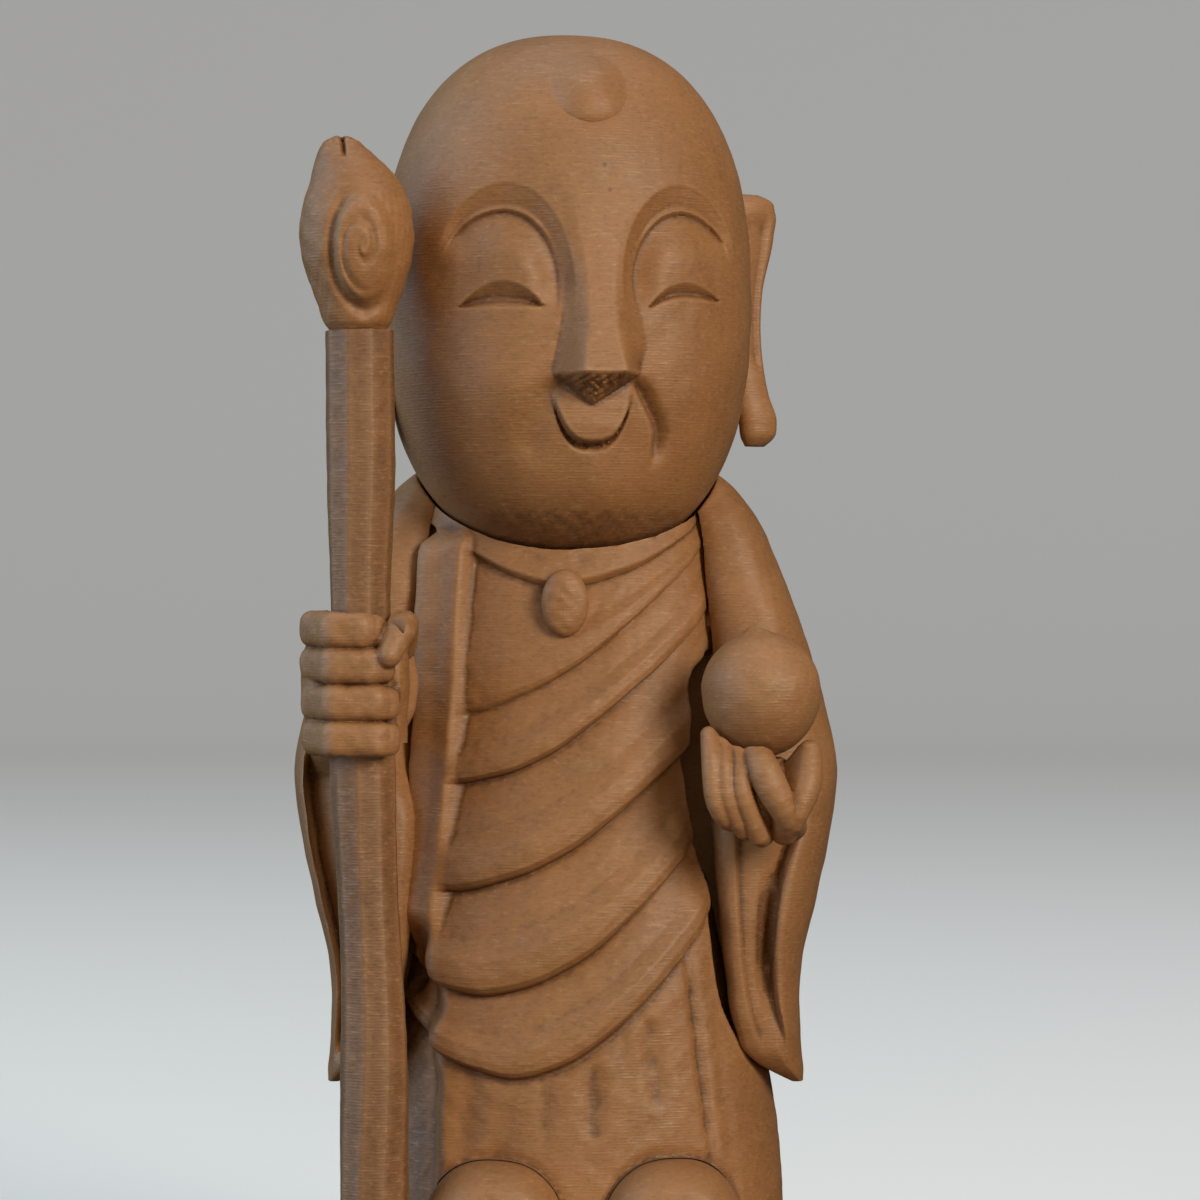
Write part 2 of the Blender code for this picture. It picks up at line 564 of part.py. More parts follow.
def make_pendant(figure, paint, front):
    _, depth, _ = (float(v) for v in smooth_profile(BODY_STATIONS, PENDANT_LEVEL))
    face = -depth - FOLD_RELIEF - GAP
    rings = []
    angles = np.arange(20) * 2 * math.pi / 20
    for flat, rise in ((0.9, 0.0), (1.0, 0.25), (0.86, 0.65), (0.5, 0.95)):
        rings.append(np.column_stack([PENDANT_WIDTH / 2 * flat * np.sin(angles),
                                      np.full(20, face - PENDANT_RISE * rise),
                                      PENDANT_LEVEL + PENDANT_HEIGHT / 2 * flat * np.cos(angles)]))
    pendant = add_object("pendant", skin(rings, last="point"), figure, paint)
    pin = rod((0, face - PENDANT_RISE / 3, PENDANT_LEVEL), (0, face + PIN_LENGTH, PENDANT_LEVEL), PIN_RADIUS)
    combine(pendant, add_object("pendant_pin", pin, figure), "UNION")
    hole = rod((0, face - GAP, PENDANT_LEVEL), (0, face + PIN_LENGTH + GAP, PENDANT_LEVEL), PIN_RADIUS + PEG_FIT)
    cut(front, add_object("pendant_hole", hole, figure))


def head_seat(head_empty):
    # Lower half of the head grown by the gap, to cut its seat in the body and arms.
    angles = np.arange(28) * 2 * math.pi / 28
    rings = []
    for up in (-0.995, -0.96, -0.89, -0.8, -0.67, -0.48, -0.2):
        x, y, z = head_point(angles, up)
        grow = GAP / np.hypot(x, y)
        lower = GAP * 1.2 * ease(-0.2, -0.95, up)
        rings.append(np.column_stack([x * (1 + grow), y * (1 + grow), z - lower]))
    return add_object("head_seat", skin(rings, first="point"), head_empty)


def make_head(head_empty, figure_empty, paint, front, back):
    # The head is carved in its own turned frame; the neck plug stays on the body axis.
    turn = np.arange(60) * 2 * math.pi / 60
    angles = turn - 0.72 * np.sin(turn)
    face = np.arange(-0.75, 0.5, 0.036)
    rings = []
    for up in (-0.996, -0.975, -0.93, -0.85, *face, 0.56, 0.66, 0.76, 0.85, 0.92, 0.97, 0.995):
        x, y, z = head_point(angles, up)
        relief = face_relief(x, z - HEAD_HEIGHT / 2) * ease(0.15, 0.55, np.cos(angles))
        rings.append(np.column_stack([x, y - relief, z]))
    head = add_object("head", skin(rings, first="point", last="point"), head_empty, paint)
    ear_rows = np.array((
        (-10.2, 13.6, 0.5, 0.6, 0.9), (-8.8, 13.8, 0.95, 0.4, 1.7), (-6.5, 13.6, 1.0, 0.6, 1.8),
        (-3.0, 13.0, 0.9, 1.0, 1.7), (0.5, 13.0, 0.9, 1.3, 2.1), (4.5, 13.4, 0.95, 1.4, 2.5),
        (6.4, 13.6, 0.9, 1.4, 2.1), (7.3, 13.5, 0.5, 1.3, 1.1)))
    ear_angles = np.arange(12) * 2 * math.pi / 12
    unit = HEAD_HEIGHT / 36.3
    for side, name in ((-1, "right_ear"), (1, "left_ear")):
        rings = []
        for up, out, thick, back_by, length in ear_rows * unit:
            thick *= EAR_THICKNESS / (1.9 * unit)
            u, v = thick * np.cos(ear_angles), length * np.sin(ear_angles)
            flare = math.radians(22)
            x = HEAD_WIDTH / 2 + out - 12.8 * unit + u * math.cos(flare) + v * math.sin(flare)
            y = back_by - u * math.sin(flare) + v * math.cos(flare)
            rings.append(np.column_stack([side * x, y, np.full(12, HEAD_HEIGHT / 2 + up)])[::side])
        combine(head, add_object(name, skin(rings), head_empty), "UNION")
    # Forehead jewel along the outward direction of the brow.
    up = FOREHEAD_JEWEL_HEIGHT / (HEAD_HEIGHT / 2)
    flat = (1 - up ** HEAD_CURVE) ** (1 / HEAD_CURVE)
    seat = Vector((0, -HEAD_DEPTH / 2 * flat, HEAD_HEIGHT / 2 + FOREHEAD_JEWEL_HEIGHT))
    outward = Vector((0, -flat ** (HEAD_CURVE - 1) / (HEAD_DEPTH / 2), up ** (HEAD_CURVE - 1) / (HEAD_HEIGHT / 2)))
    outward.normalize()
    r, rise = FOREHEAD_JEWEL_RADIUS, FOREHEAD_JEWEL_RISE
    jewel = turned(((PIN_RADIUS * 2, -PIN_LENGTH), (PIN_RADIUS * 2, -rise), (r * 0.8, -rise * 0.9), (r, 0.1 * rise),
                    (r * 0.85, 0.55 * rise), (r * 0.55, 0.87 * rise), (r * 0.2, rise)), 16)
    place = Matrix.Translation(seat) @ outward.to_track_quat("Z", "Y").to_matrix().to_4x4()
    bmesh.ops.transform(jewel, matrix=place, verts=jewel.verts[:])
    add_object("forehead_jewel", jewel, head_empty, paint)
    bed = turned(((PIN_RADIUS * 2 + GAP, -PIN_LENGTH - GAP), (PIN_RADIUS * 2 + GAP, -rise - GAP),
                  (r * 0.8 + GAP, -rise * 0.9 - GAP), (r + GAP, 0.0), (r + GAP, 2 * rise)), 16)
    bmesh.ops.transform(bed, matrix=place, verts=bed.verts[:])
    cut(head, add_object("forehead_bed", bed, head_empty))
    # Neck plug
    under = float(head_underside(np.array(0.0), np.array(0.0)))
    hole = peg("neck_plug", (0, 0, under - NECK_IN_BODY), (0, 0, under + NECK_IN_HEAD), NECK_RADIUS,
               figure_empty, paint, 20)
    for item in (head, front, back):
        cut(item, hole)
    return head


def make_staff(staff, paint):
    # Shaft and finial on the staff's own leaning axis, measured from the middle of the fist.
    foot, top = -FIST_HEIGHT, FINIAL_LEVEL - FIST_HEIGHT - GAP
    rows = []
    for part in np.linspace(0, 1, 13):
        waist = STAFF_WAIST * (1 - abs(2 * part - 1) ** 2)
        rows.append((STAFF_RADIUS - waist, foot + part * (top - foot)))
    shaft_rows = rows + [(TENON_RADIUS, top), (TENON_RADIUS, top + TENON_LENGTH)]
    add_object("staff_shaft", turned(shaft_rows, STAFF_SIDES, math.pi / STAFF_SIDES), staff, paint)
    shape = ((0.0, FINIAL_FOOT_RADIUS / FINIAL_RADIUS), (0.07, 0.6), (0.17, 0.72), (0.28, 0.85), (0.38, 0.95),
             (0.48, 1.0), (0.58, 1.0), (0.68, 0.91), (0.79, 0.74), (0.89, 0.52), (0.96, 0.25), (1.0, 0.1))
    level = FINIAL_LEVEL - FIST_HEIGHT
    finial = add_object("staff_finial", turned([(FINIAL_RADIUS * radius, level + FINIAL_HEIGHT * up)
                                                for up, radius in shape], 20), staff, paint)
    socket = rod((0, 0, level - GAP), (0, 0, top + TENON_LENGTH + GAP), TENON_RADIUS + PEG_FIT)
    cut(finial, add_object("finial_socket", socket, staff))


def sleeve_front(level):
    # How far the sleeve's front stands before the body axis at a height.
    return -float(smooth_profile(ARM_STATIONS, level)[2])


def make_right_hand(staff, paint, arm):
    # Fist round the staff: four fingers, thumb, back of the hand and palm, with the bore cut last.
    unit = FINGER_RADIUS / 1.22
    hand = ball(np.array((-2.9, 0.6, 0.0)) * unit, np.array((1.5, 2.8, 4.5)) * unit)
    hand = add_object("right_hand", hand, staff, paint)
    turn = np.radians((118.0, 85.0, 45.0, 5.0, -34.0))
    pieces = [ball(np.array((0.2, 2.7, 0.0)) * unit, np.array((3.3, 1.5, 4.4)) * unit),
              ball(np.array((2.3, 0.8, 0.2)) * unit, np.array((0.95, 2.2, 3.6)) * unit)]
    for number in range(4):
        level = (1.5 - number) * FINGER_SPACING
        path = np.column_stack([-FIST_REACH * np.sin(turn), -FIST_REACH * np.cos(turn), np.full(5, level)])
        pieces.append(tube(path, np.array((0.95, 1.0, 1.0, 0.96, 0.72)) * FINGER_RADIUS))
    thumb = np.array(((2.7, 1.5, 2.4), (3.1, -0.5, 4.0), (2.9, -2.4, 3.6), (2.0, -3.9, 1.5))) * unit
    pieces.append(tube(thumb, np.array((1.0, 0.95, 0.85, 0.62)) * unit))
    drop = 3.6 * unit
    away = Vector((0.4 * unit, WRIST_IN_SLEEVE - STAFF_AXIS_Y - sleeve_front(FIST_HEIGHT - drop), -drop))
    start = Vector((-0.2, 2.4, -1.4)) * unit
    pieces.append(rod(start, away, WRIST_RADIUS, 16))
    for number, piece in enumerate(pieces):
        combine(hand, add_object("right_hand_form_%d" % number, piece, staff), "UNION")
    bore = rod((0, 0, -3.2 * FINGER_SPACING), (0, 0, 3.2 * FINGER_SPACING), STAFF_RADIUS + STAFF_FIT, 16)
    cut(hand, add_object("right_hand_bore", bore, staff))
    fit_wrist("right", start, away, staff, paint, hand, arm)


def make_left_hand(jewel_empty, figure, paint, arm):
    # Cupped hand under the jewel, measured from the jewel's middle: three slim fingers, forefinger and thumb.
    unit = JEWEL_RADIUS / 4.0
    hand = ball(np.array((-0.2, 0.6, -6.6)) * unit, np.array((3.1, 2.9, 2.9)) * unit)
    hand = add_object("left_hand", hand, figure, paint)
    hand.location = JEWEL_PLACE
    pieces = []
    slim = SMALL_FINGER_RADIUS / unit
    for tip, knuckle, low, thick in ((-3.3, -2.7, -8.7, slim), (-2.2, -1.6, -9.1, slim), (-1.1, -0.6, -9.6, slim),
                                     (0.4, 1.7, -9.0, 1.4 * slim)):
        path = np.array(((knuckle, 1.6, low), (knuckle, -0.6, low - 0.5), (0.5 * (tip + knuckle), -2.5, low + 0.8),
                         (tip, -2.9, -6.2), (tip, -2.6, -4.8))) * unit
        pieces.append(tube(path, np.array((1.0, 1.05, 1.0, 0.95, 0.8)) * thick * unit, 8))
    thumb = np.array(((2.6, 1.8, -8.2), (2.9, -0.8, -8.4), (2.8, -1.9, -6.8), (3.0, -2.0, -5.2))) * unit
    pieces.append(tube(thumb, np.array((1.0, 0.95, 0.85, 0.65)) * unit))
    start = Vector((0.1, 1.2, -6.9)) * unit
    drop = 6.6 * unit
    away = Vector((0.5 * unit, WRIST_IN_SLEEVE - JEWEL_PLACE.y - sleeve_front(JEWEL_PLACE.z - drop), -drop))
    pieces.append(rod(start, away, WRIST_RADIUS, 16))
    for number, piece in enumerate(pieces):
        tool = add_object("left_hand_form_%d" % number, piece, figure)
        tool.location = JEWEL_PLACE
        combine(hand, tool, "UNION")
    seat = add_object("jewel_seat", ball((0, 0, 0), (JEWEL_RADIUS + GAP,) * 3, 18, 12), figure)
    seat.location = JEWEL_PLACE
    cut(hand, seat)
    fit_wrist("left", start + JEWEL_PLACE, away + JEWEL_PLACE, figure, paint, hand, arm)
    # Jewel with its small tip, and the peg that stands in the palm.
    rows = [(JEWEL_RADIUS * math.cos(tilt), JEWEL_RADIUS * math.sin(tilt))
            for tilt in np.radians((-80, -60, -40, -20, 0, 20, 40, 58))]
    rows += [(JEWEL_RADIUS * 0.22, JEWEL_RADIUS), (JEWEL_RADIUS * 0.06, JEWEL_RADIUS + JEWEL_TIP)]
    jewel = add_object("jewel", turned(rows, 18), jewel_empty, paint)
    hole = peg("jewel_peg", (0, 0, -JEWEL_RADIUS - JEWEL_PEG_IN_PALM),
               (0, 0, -JEWEL_RADIUS + JEWEL_PEG_IN_JEWEL), JEWEL_PEG_RADIUS, jewel_empty, paint)
    cut(jewel, hole)
    cut(hand, hole)


def fit_wrist(side, start, away, parent, paint, hand, arm):
    # The wrist stands in the mouth of the sleeve, held by a dowel along it.
    along = (away - start).normalized()
    mouth = rod(start, away + along * GAP, WRIST_RADIUS + GAP, 16)
    cut(arm, add_object(side + "_sleeve_mouth", mouth, parent))
    hole = peg(side + "_wrist_dowel", away - along * WRIST_DOWEL_LENGTH / 2, away + along * WRIST_DOWEL_LENGTH / 2,
               DOWEL_RADIUS, parent, paint)
    cut(hand, hole)
    cut(arm, hole)


def main():
    clear_scene()
    brown = make_material("wood_brown", (0.34, 0.185, 0.10), 0.72)
    base = make_empty("base_origin", (0, 0, 0))
    figure = make_empty("figure_origin", (0, 0, SOLES), base)
    head = make_empty("head_origin", (0, -HEAD_FORWARD, CHIN_HEIGHT), figure, (0, 0, HEAD_TURN))
    staff = make_empty("staff_axis", (STAFF_AXIS_X, STAFF_AXIS_Y, FIST_HEIGHT), figure, (0, STAFF_LEAN, 0))
    jewel = make_empty("jewel_axis", JEWEL_PLACE, figure)
    seat = make_base(base, brown)
    front, back = make_body(figure, brown)
    make_feet(figure, brown, seat, front)
    right_arm = make_arm(-1, "right_arm", figure, brown, front, back)
    left_arm = make_arm(1, "left_arm", figure, brown, front, back)
    seat_cutter, room = head_seat(head), body_room(figure)
    for block in (front, back, right_arm, left_arm):
        cut(block, seat_cutter)
    cut(right_arm, room)
    cut(left_arm, room)
    make_pendant(figure, brown, front)
    make_head(head, figure, brown, front, back)
    make_staff(staff, brown)
    make_right_hand(staff, brown, right_arm)
    make_left_hand(jewel, figure, brown, left_arm)


main()
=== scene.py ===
import math

import bpy
import numpy as np
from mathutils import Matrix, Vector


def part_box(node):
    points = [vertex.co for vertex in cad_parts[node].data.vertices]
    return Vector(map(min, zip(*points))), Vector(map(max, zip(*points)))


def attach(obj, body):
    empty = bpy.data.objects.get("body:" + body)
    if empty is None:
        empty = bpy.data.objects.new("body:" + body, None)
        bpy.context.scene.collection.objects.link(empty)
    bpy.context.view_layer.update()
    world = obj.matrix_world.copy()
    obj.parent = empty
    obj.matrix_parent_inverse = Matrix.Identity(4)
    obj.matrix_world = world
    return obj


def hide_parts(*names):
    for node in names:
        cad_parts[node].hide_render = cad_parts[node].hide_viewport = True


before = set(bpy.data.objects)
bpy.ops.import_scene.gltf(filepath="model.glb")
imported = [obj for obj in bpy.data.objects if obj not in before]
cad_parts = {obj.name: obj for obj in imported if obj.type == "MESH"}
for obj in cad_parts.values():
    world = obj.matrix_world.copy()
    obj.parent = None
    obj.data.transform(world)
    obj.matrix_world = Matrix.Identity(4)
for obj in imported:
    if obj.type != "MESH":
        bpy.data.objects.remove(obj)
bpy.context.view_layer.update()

# Shapes are worked out in millimetres. Heights of the figure are counted from its soles, and it faces -Y.
mm = 0.001
sharpFrom = math.radians(50.0)
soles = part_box("right_foot")[0].z / mm
print("frame: %d nodes, soles at %.2f mm" % (len(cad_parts), soles))


def ease(low, high, value):
    # smooth step: 3 t^2 - 2 t^3 of the share t between low and high
    t = np.clip((value - low) / (high - low), 0.0, 1.0)
    return t * t * (3.0 - 2.0 * t)


def hump(middle, width, value):
    # bell: e to the minus square of the distance in widths
    return np.exp(-((value - middle) / width) ** 2)


def through(rows, at):
    # cubic Hermite curve through rows whose first column is the parameter, slopes taken from the neighbours
    rows, at = np.asarray(rows, float), np.asarray(at, float)
    knots, values = rows[:, 0], rows[:, 1:]
    flat = np.clip(at.ravel(), knots[0], knots[-1])
    slopes = np.gradient(values, knots, axis=0)
    k = np.clip(np.searchsorted(knots, flat) - 1, 0, len(knots) - 2)
    span = (knots[k + 1] - knots[k])[:, None]
    t = (flat - knots[k])[:, None] / span
    found = (values[k] * (1 + 2 * t) * (1 - t) ** 2 + values[k + 1] * t * t * (3 - 2 * t)
             + span * (slopes[k] * t * (1 - t) ** 2 - slopes[k + 1] * t * t * (1 - t)))
    return [found[:, n].reshape(at.shape) for n in range(values.shape[1])]


def roundSection(angle, power):
    # superellipse |x|^p + |y|^p = 1; angle 0 is the front, a quarter turn is the figure's left
    across, ahead = np.sin(angle), np.cos(angle)
    return np.sign(across) * np.abs(across) ** (2 / power), np.sign(ahead) * np.abs(ahead) ** (2 / power)


def angleAt(share, power):
    # turn at which a superellipse of this power has gone a share of its half-width
    return np.sign(share) * np.arcsin(np.abs(share) ** (power / 2))


def grain(x, y, z, size):
    # soft irregularity from -1 to 1: weighted sum of three products of sines at unrelated pitches
    x, y, z = x / size, y / size, z / size
    a = np.sin(2.1 * x + 1.3 * np.sin(1.7 * z + 0.4)) * np.sin(1.9 * z + 1.1 * np.sin(2.3 * y))
    b = np.sin(4.3 * x - 2.2 * y + 0.7) * np.sin(3.9 * z + 1.6 * np.sin(1.3 * x))
    c = np.sin(8.7 * y + 3.1 * z) * np.sin(9.3 * x - 4.2 * z + 2.0)
    return 0.5 * a + 0.32 * b + 0.18 * c


def onFigure(x, y, h):
    # coordinates in metres, with heights counted from the soles
    return np.stack(np.broadcast_arrays(x, y, h + soles), axis=-1) * mm


def rings(levels, columns):
    # every level paired with equal turns round the upright axis
    return np.meshgrid(levels, np.linspace(0, 2 * math.pi, columns, False), indexing="ij")


def stacked(form):
    # rings from the first to the last of a form's stations
    return rings(np.linspace(form["stations"][0][0], form["stations"][-1][0], form["rows"]), form["columns"])


def hollows(grid, ring):
    # depth of each point under the average of its surroundings, along the outward direction,
    # in tenths of a millimetre
    step = np.linalg.norm(np.roll(grid, -1, 1) - grid, axis=-1).mean() / mm
    soft = grid.copy()
    for _ in range(int(np.clip((0.5 / step) ** 2 * 2.5, 4, 60))):
        above = np.roll(soft, -1, 0) if ring else np.vstack([soft[1:], soft[-1:]])
        below = np.roll(soft, 1, 0) if ring else np.vstack([soft[:1], soft[:-1]])
        soft = (soft + np.roll(soft, 1, 1) + np.roll(soft, -1, 1) + above + below) / 5
    out = np.cross(np.roll(grid, -1, 1) - np.roll(grid, 1, 1), np.gradient(grid, axis=0))
    out /= np.maximum(np.linalg.norm(out, axis=-1, keepdims=True), 1e-12)
    return np.einsum("ijk,ijk->ij", out, soft - grid) / (0.1 * mm)


def link(name, data):
    # new object in the scene
    made = bpy.data.objects.new(name, data)
    bpy.context.scene.collection.objects.link(made)
    return made


def addPiece(name, grid, body, nodes, finish=None, ring=False, paintedShade=0.0):
    # quads between neighbours of a grid whose columns run round; the end rows close to their middle points,
    # or the last row joins the first where the grid runs round both ways; the hollow depth plus any painted
    # shade given is stored for the finish, which paints shade in hollows and highlights on ridges from it
    rows, cols = grid.shape[:2]
    index = np.arange(rows * cols).reshape(rows, cols)
    here, above = (index, np.roll(index, -1, 0)) if ring else (index[:-1], index[1:])
    quads = np.stack([here, np.roll(here, -1, 1), np.roll(above, -1, 1), above], -1).reshape(-1, 4)
    points, fans = grid.reshape(-1, 3), np.zeros((0, 3), int)
    shadeAndHighlight = hollows(grid, ring).ravel()
    if not ring:
        first, last = np.full(cols, len(points)), np.full(cols, len(points) + 1)
        points = np.vstack([points, grid[0].mean(0), grid[-1].mean(0)])
        shadeAndHighlight = np.append(shadeAndHighlight, (0.0, 0.0))
        fans = np.vstack([np.stack([np.roll(index[0], -1), index[0], first], -1),
                          np.stack([index[-1], np.roll(index[-1], -1), last], -1)])
    triangles = np.vstack([quads[:, :3], quads[:, [0, 2, 3]], fans])
    a, b, c = (points[triangles[:, k]] - points.mean(0) for k in range(3))
    if np.einsum("ij,ij->", a, np.cross(b, c)) < 0:      # faces point outwards where the volume is positive
        quads, fans, shadeAndHighlight = quads[:, ::-1], fans[:, ::-1], -shadeAndHighlight
    # painted shade: extra darkening added on top of the measured hollows
    shadeAndHighlight[:grid[..., 0].size] += np.ravel(paintedShade)
    mesh = bpy.data.meshes.new(name)
    mesh.vertices.add(len(points))
    mesh.vertices.foreach_set("co", points.astype(np.float32).ravel())
    corners = np.concatenate([quads.ravel(), fans.ravel()])
    starts = np.concatenate([np.arange(len(quads)) * 4, len(quads) * 4 + np.arange(len(fans)) * 3])
    mesh.loops.add(len(corners))
    mesh.loops.foreach_set("vertex_index", corners.astype(np.int32))
    mesh.polygons.add(len(starts))
    mesh.polygons.foreach_set("loop_start", starts.astype(np.int32))
    mesh.update(calc_edges=True)
    mesh.attributes.new("shadeAndHighlight", "FLOAT", "POINT").data.foreach_set(
        "value", np.clip(np.nan_to_num(shadeAndHighlight), -1, 1).astype(np.float32))
    mesh.shade_smooth()
    mesh.set_sharp_from_angle(angle=sharpFrom)
    mesh.materials.append(finish or brown)
    piece = link(name, mesh)
    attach(piece, body)
    if nodes:
        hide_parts(*nodes)
    print("%s: %d triangles" % (name, 2 * len(quads) + len(fans)))


# Camera at the photograph's place: level with the chest, straight in front
view = {"across": 2.38, "away": 300.0, "height": 52.6, "width": 84.0, "sensor": 36.0}
camera = link("camera", bpy.data.cameras.new("camera"))
camera.location = (view["across"] * mm, -view["away"] * mm, view["height"] * mm)
camera.rotation_euler = (math.pi / 2, 0, 0)
camera.data.sensor_width = view["sensor"]
camera.data.lens = view["sensor"] * view["away"] / view["width"]
camera.data.clip_start = 0.01
bpy.context.scene.camera = camera


class Wire:
    # a socket with arithmetic: each operator adds one Math node
    def __init__(self, tree, socket=None):
        self.tree, self.socket = tree, socket

    def add(self, kind, settings=None, inputs=None, out=0):
        # any other node: its type, its settings, then the values or links of its sockets
        node = self.tree.nodes.new(kind)
        for key, value in (settings or {}).items():
            setattr(node, key, value)
        for key, value in (inputs or {}).items():
            if isinstance(value, Wire):
                self.tree.links.new(value.socket, node.inputs[key])
            else:
                node.inputs[key].default_value = value
        return Wire(self.tree, node.outputs[out])

    def math(self, operation, a, b=0.0):
        # one operation on two values
        return self.add("ShaderNodeMath", {"operation": operation}, {0: a, 1: b})

    def __add__(self, other):
        return self.math("ADD", self, other)

    def __radd__(self, other):
        return self.math("ADD", other, self)

    def __sub__(self, other):
        return self.math("SUBTRACT", self, other)

    def __rsub__(self, other):
        return self.math("SUBTRACT", other, self)

    def __mul__(self, other):
        return self.math("MULTIPLY", self, other)

    def __rmul__(self, other):
        return self.math("MULTIPLY", other, self)

    def part(self, axis):
        # one axis of this vector
        return self.add("ShaderNodeSeparateXYZ", None, {0: self}, axis)

    def noise(self, scale, detail, roughness=0.55):
        # noise on this vector, stretched by a scale for each axis
        placed = self.add("ShaderNodeMapping", None, {"Vector": self, "Scale": scale})
        return self.add("ShaderNodeTexNoise", None, {"Vector": placed, "Scale": 1.0, "Detail": detail,
                                                     "Roughness": roughness})

    def within(self, low, high):
        # share of this value between low and high, eased at both ends
        return self.add("ShaderNodeMapRange", {"interpolation_type": "SMOOTHSTEP"},
                        {"Value": self, "From Min": low, "From Max": high})


brownPrint = {"base": (0.335, 0.148, 0.050), "deep": (0.110, 0.043, 0.014), "pale": (0.460, 0.245, 0.122),
              "pitch": 0.0002, "lines": 0.55, "depth": 0.00006, "roughness": 0.58, "specular": 0.65,
              # turns a metre of each noise along the three axes
              "broad": (160, 160, 130), "streaks": (800, 800, 5200), "specks": (2400, 2400, 4600),
              "wobble": (300, 300, 300)}


def printedBrown(name, dark=0.0):
    # layer lines: sine of height over the pitch, broken up by noise that is long across and thin upwards;
    # colour: base mixed with a deep brown by broad noise and as painted shade in hollows, and with a pale one
    # by fine noise and as painted highlight on edges
    finish = bpy.data.materials.new(name)
    finish.use_nodes = True
    tree = finish.node_tree
    shader = tree.nodes["Principled BSDF"]
    place = Wire(tree).add("ShaderNodeTexCoord", None, None, "Object")
    shadeAndHighlight = Wire(tree).add("ShaderNodeAttribute", {"attribute_name": "shadeAndHighlight"}, None, "Fac")
    height = place.part("Z")
    broad = place.noise(brownPrint["broad"], 5, 0.6)
    streaks = place.noise(brownPrint["streaks"], 3, 0.6)
    specks = place.noise(brownPrint["specks"], 2)
    wobble = place.noise(brownPrint["wobble"], 2)
    lines = Wire(tree).math("SINE", height * (2 * math.pi / brownPrint["pitch"]) + wobble * 4.0)
    clouds = (1 - broad.within(0.36, 0.64)) * 0.20 + specks.within(0.50, 0.30) * 0.22
    # deep brown from broad mottling, from a darker tone and as painted shade in hollows
    mottleAndShade = clouds + shadeAndHighlight.within(0.08, 0.95) * 0.60 + dark
    colour = Wire(tree).add("ShaderNodeMix", {"data_type": "RGBA"},
                            {0: mottleAndShade, 6: (*brownPrint["base"], 1), 7: (*brownPrint["deep"], 1)}, 2)
    flecks = streaks.within(0.50, 0.78) * 0.34 + specks.within(0.60, 0.76) * 0.45
    # pale colour from flecks and as painted highlight on ridges and edges
    flecksAndHighlight = flecks + (-1 * shadeAndHighlight).within(0.1, 0.9) * 0.20
    colour = colour.add("ShaderNodeMix", {"data_type": "RGBA"},
                        {0: flecksAndHighlight, 6: colour, 7: (*brownPrint["pale"], 1)}, 2)
    tree.links.new(colour.socket, shader.inputs["Base Color"])
    rough = brownPrint["roughness"] + (broad - 0.5) * 0.18 - streaks.within(0.5, 0.8) * 0.14
    tree.links.new(rough.socket, shader.inputs["Roughness"])
    relief = lines * streaks.within(0.30, 0.70) * 0.12 + streaks * 0.90 + specks * 0.50 + broad * 1.6
    bump = relief.add("ShaderNodeBump", None, {"Strength": brownPrint["lines"], "Distance": brownPrint["depth"],
                                               "Height": relief})
    tree.links.new(bump.socket, shader.inputs["Normal"])
    shader.inputs["Specular IOR Level"].default_value = brownPrint["specular"]
    return finish


brown = printedBrown("brownPrint")
brownCore = printedBrown("brownCore", 0.25)
brownPole = printedBrown("brownPole", 0.50)
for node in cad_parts.values():
    node.data.materials.clear()
    node.data.materials.append(brownCore)
print("materials: %d" % len(bpy.data.materials))


# Head
head = {"chin": 46.2, "height": 36.3, "width": 25.6, "depth": 24.6, "forward": 2.0, "jaw": 1.8, "turn": 10.5,
        "curve": 2.4, "section": 2.2,
        # shares of the half-height and half-width within which the grid is fine
        "fineUp": (-0.64, 0.47), "fineAcross": 0.845, "fineRows": 200, "fineColumns": 216,
        "chinRows": 43, "crownRows": 51, "backColumns": 117,
        # pin marks on the brow: place across, place upwards
        "pins": ((0.6, 8.2), (0.9, 6.5))}

# Carving of the face, from its middle line and the middle of the head; pairs are the right and the left eye
face = {
    # middle across, half-width inwards and outwards, half-height
    "brow": (5.95, 4.42, 4.7, 7.1), "lid": (6.1, 3.6, 4.2, 5.0), "sink": 0.95,
    "eyeMiddle": 6.25, "eyeReach": 2.6, "eyeBow": 1.55, "eyeDrop": 1.2, "eyeThick": (1.15, 0.62),
    "eyeDepth": (0.62, 0.48), "noseMiddle": -0.4, "noseTip": -7.95, "noseFoot": -5.8,
    # height, half-width of the ridge, half-width at the cheek, rise
    "nose": ((-5.9, 1.4, 3.05, 3.1), (-3.0, 0.85, 2.5, 1.95), (0.0, 0.8, 2.05, 0.95), (3.0, 1.1, 2.1, 0.3),
             (6.5, 1.8, 2.6, 0.0)),
    "mouthMiddle": -0.3, "mouthReach": 2.35, "mouthLevel": -10.5, "lipRise": 0.75,
    # fold of the smile: height, place across
    "smile": ((-11.8, 4.15), (-9.7, 4.3), (-8.9, 4.05), (-8.0, 3.55), (-6.6, 2.8))}


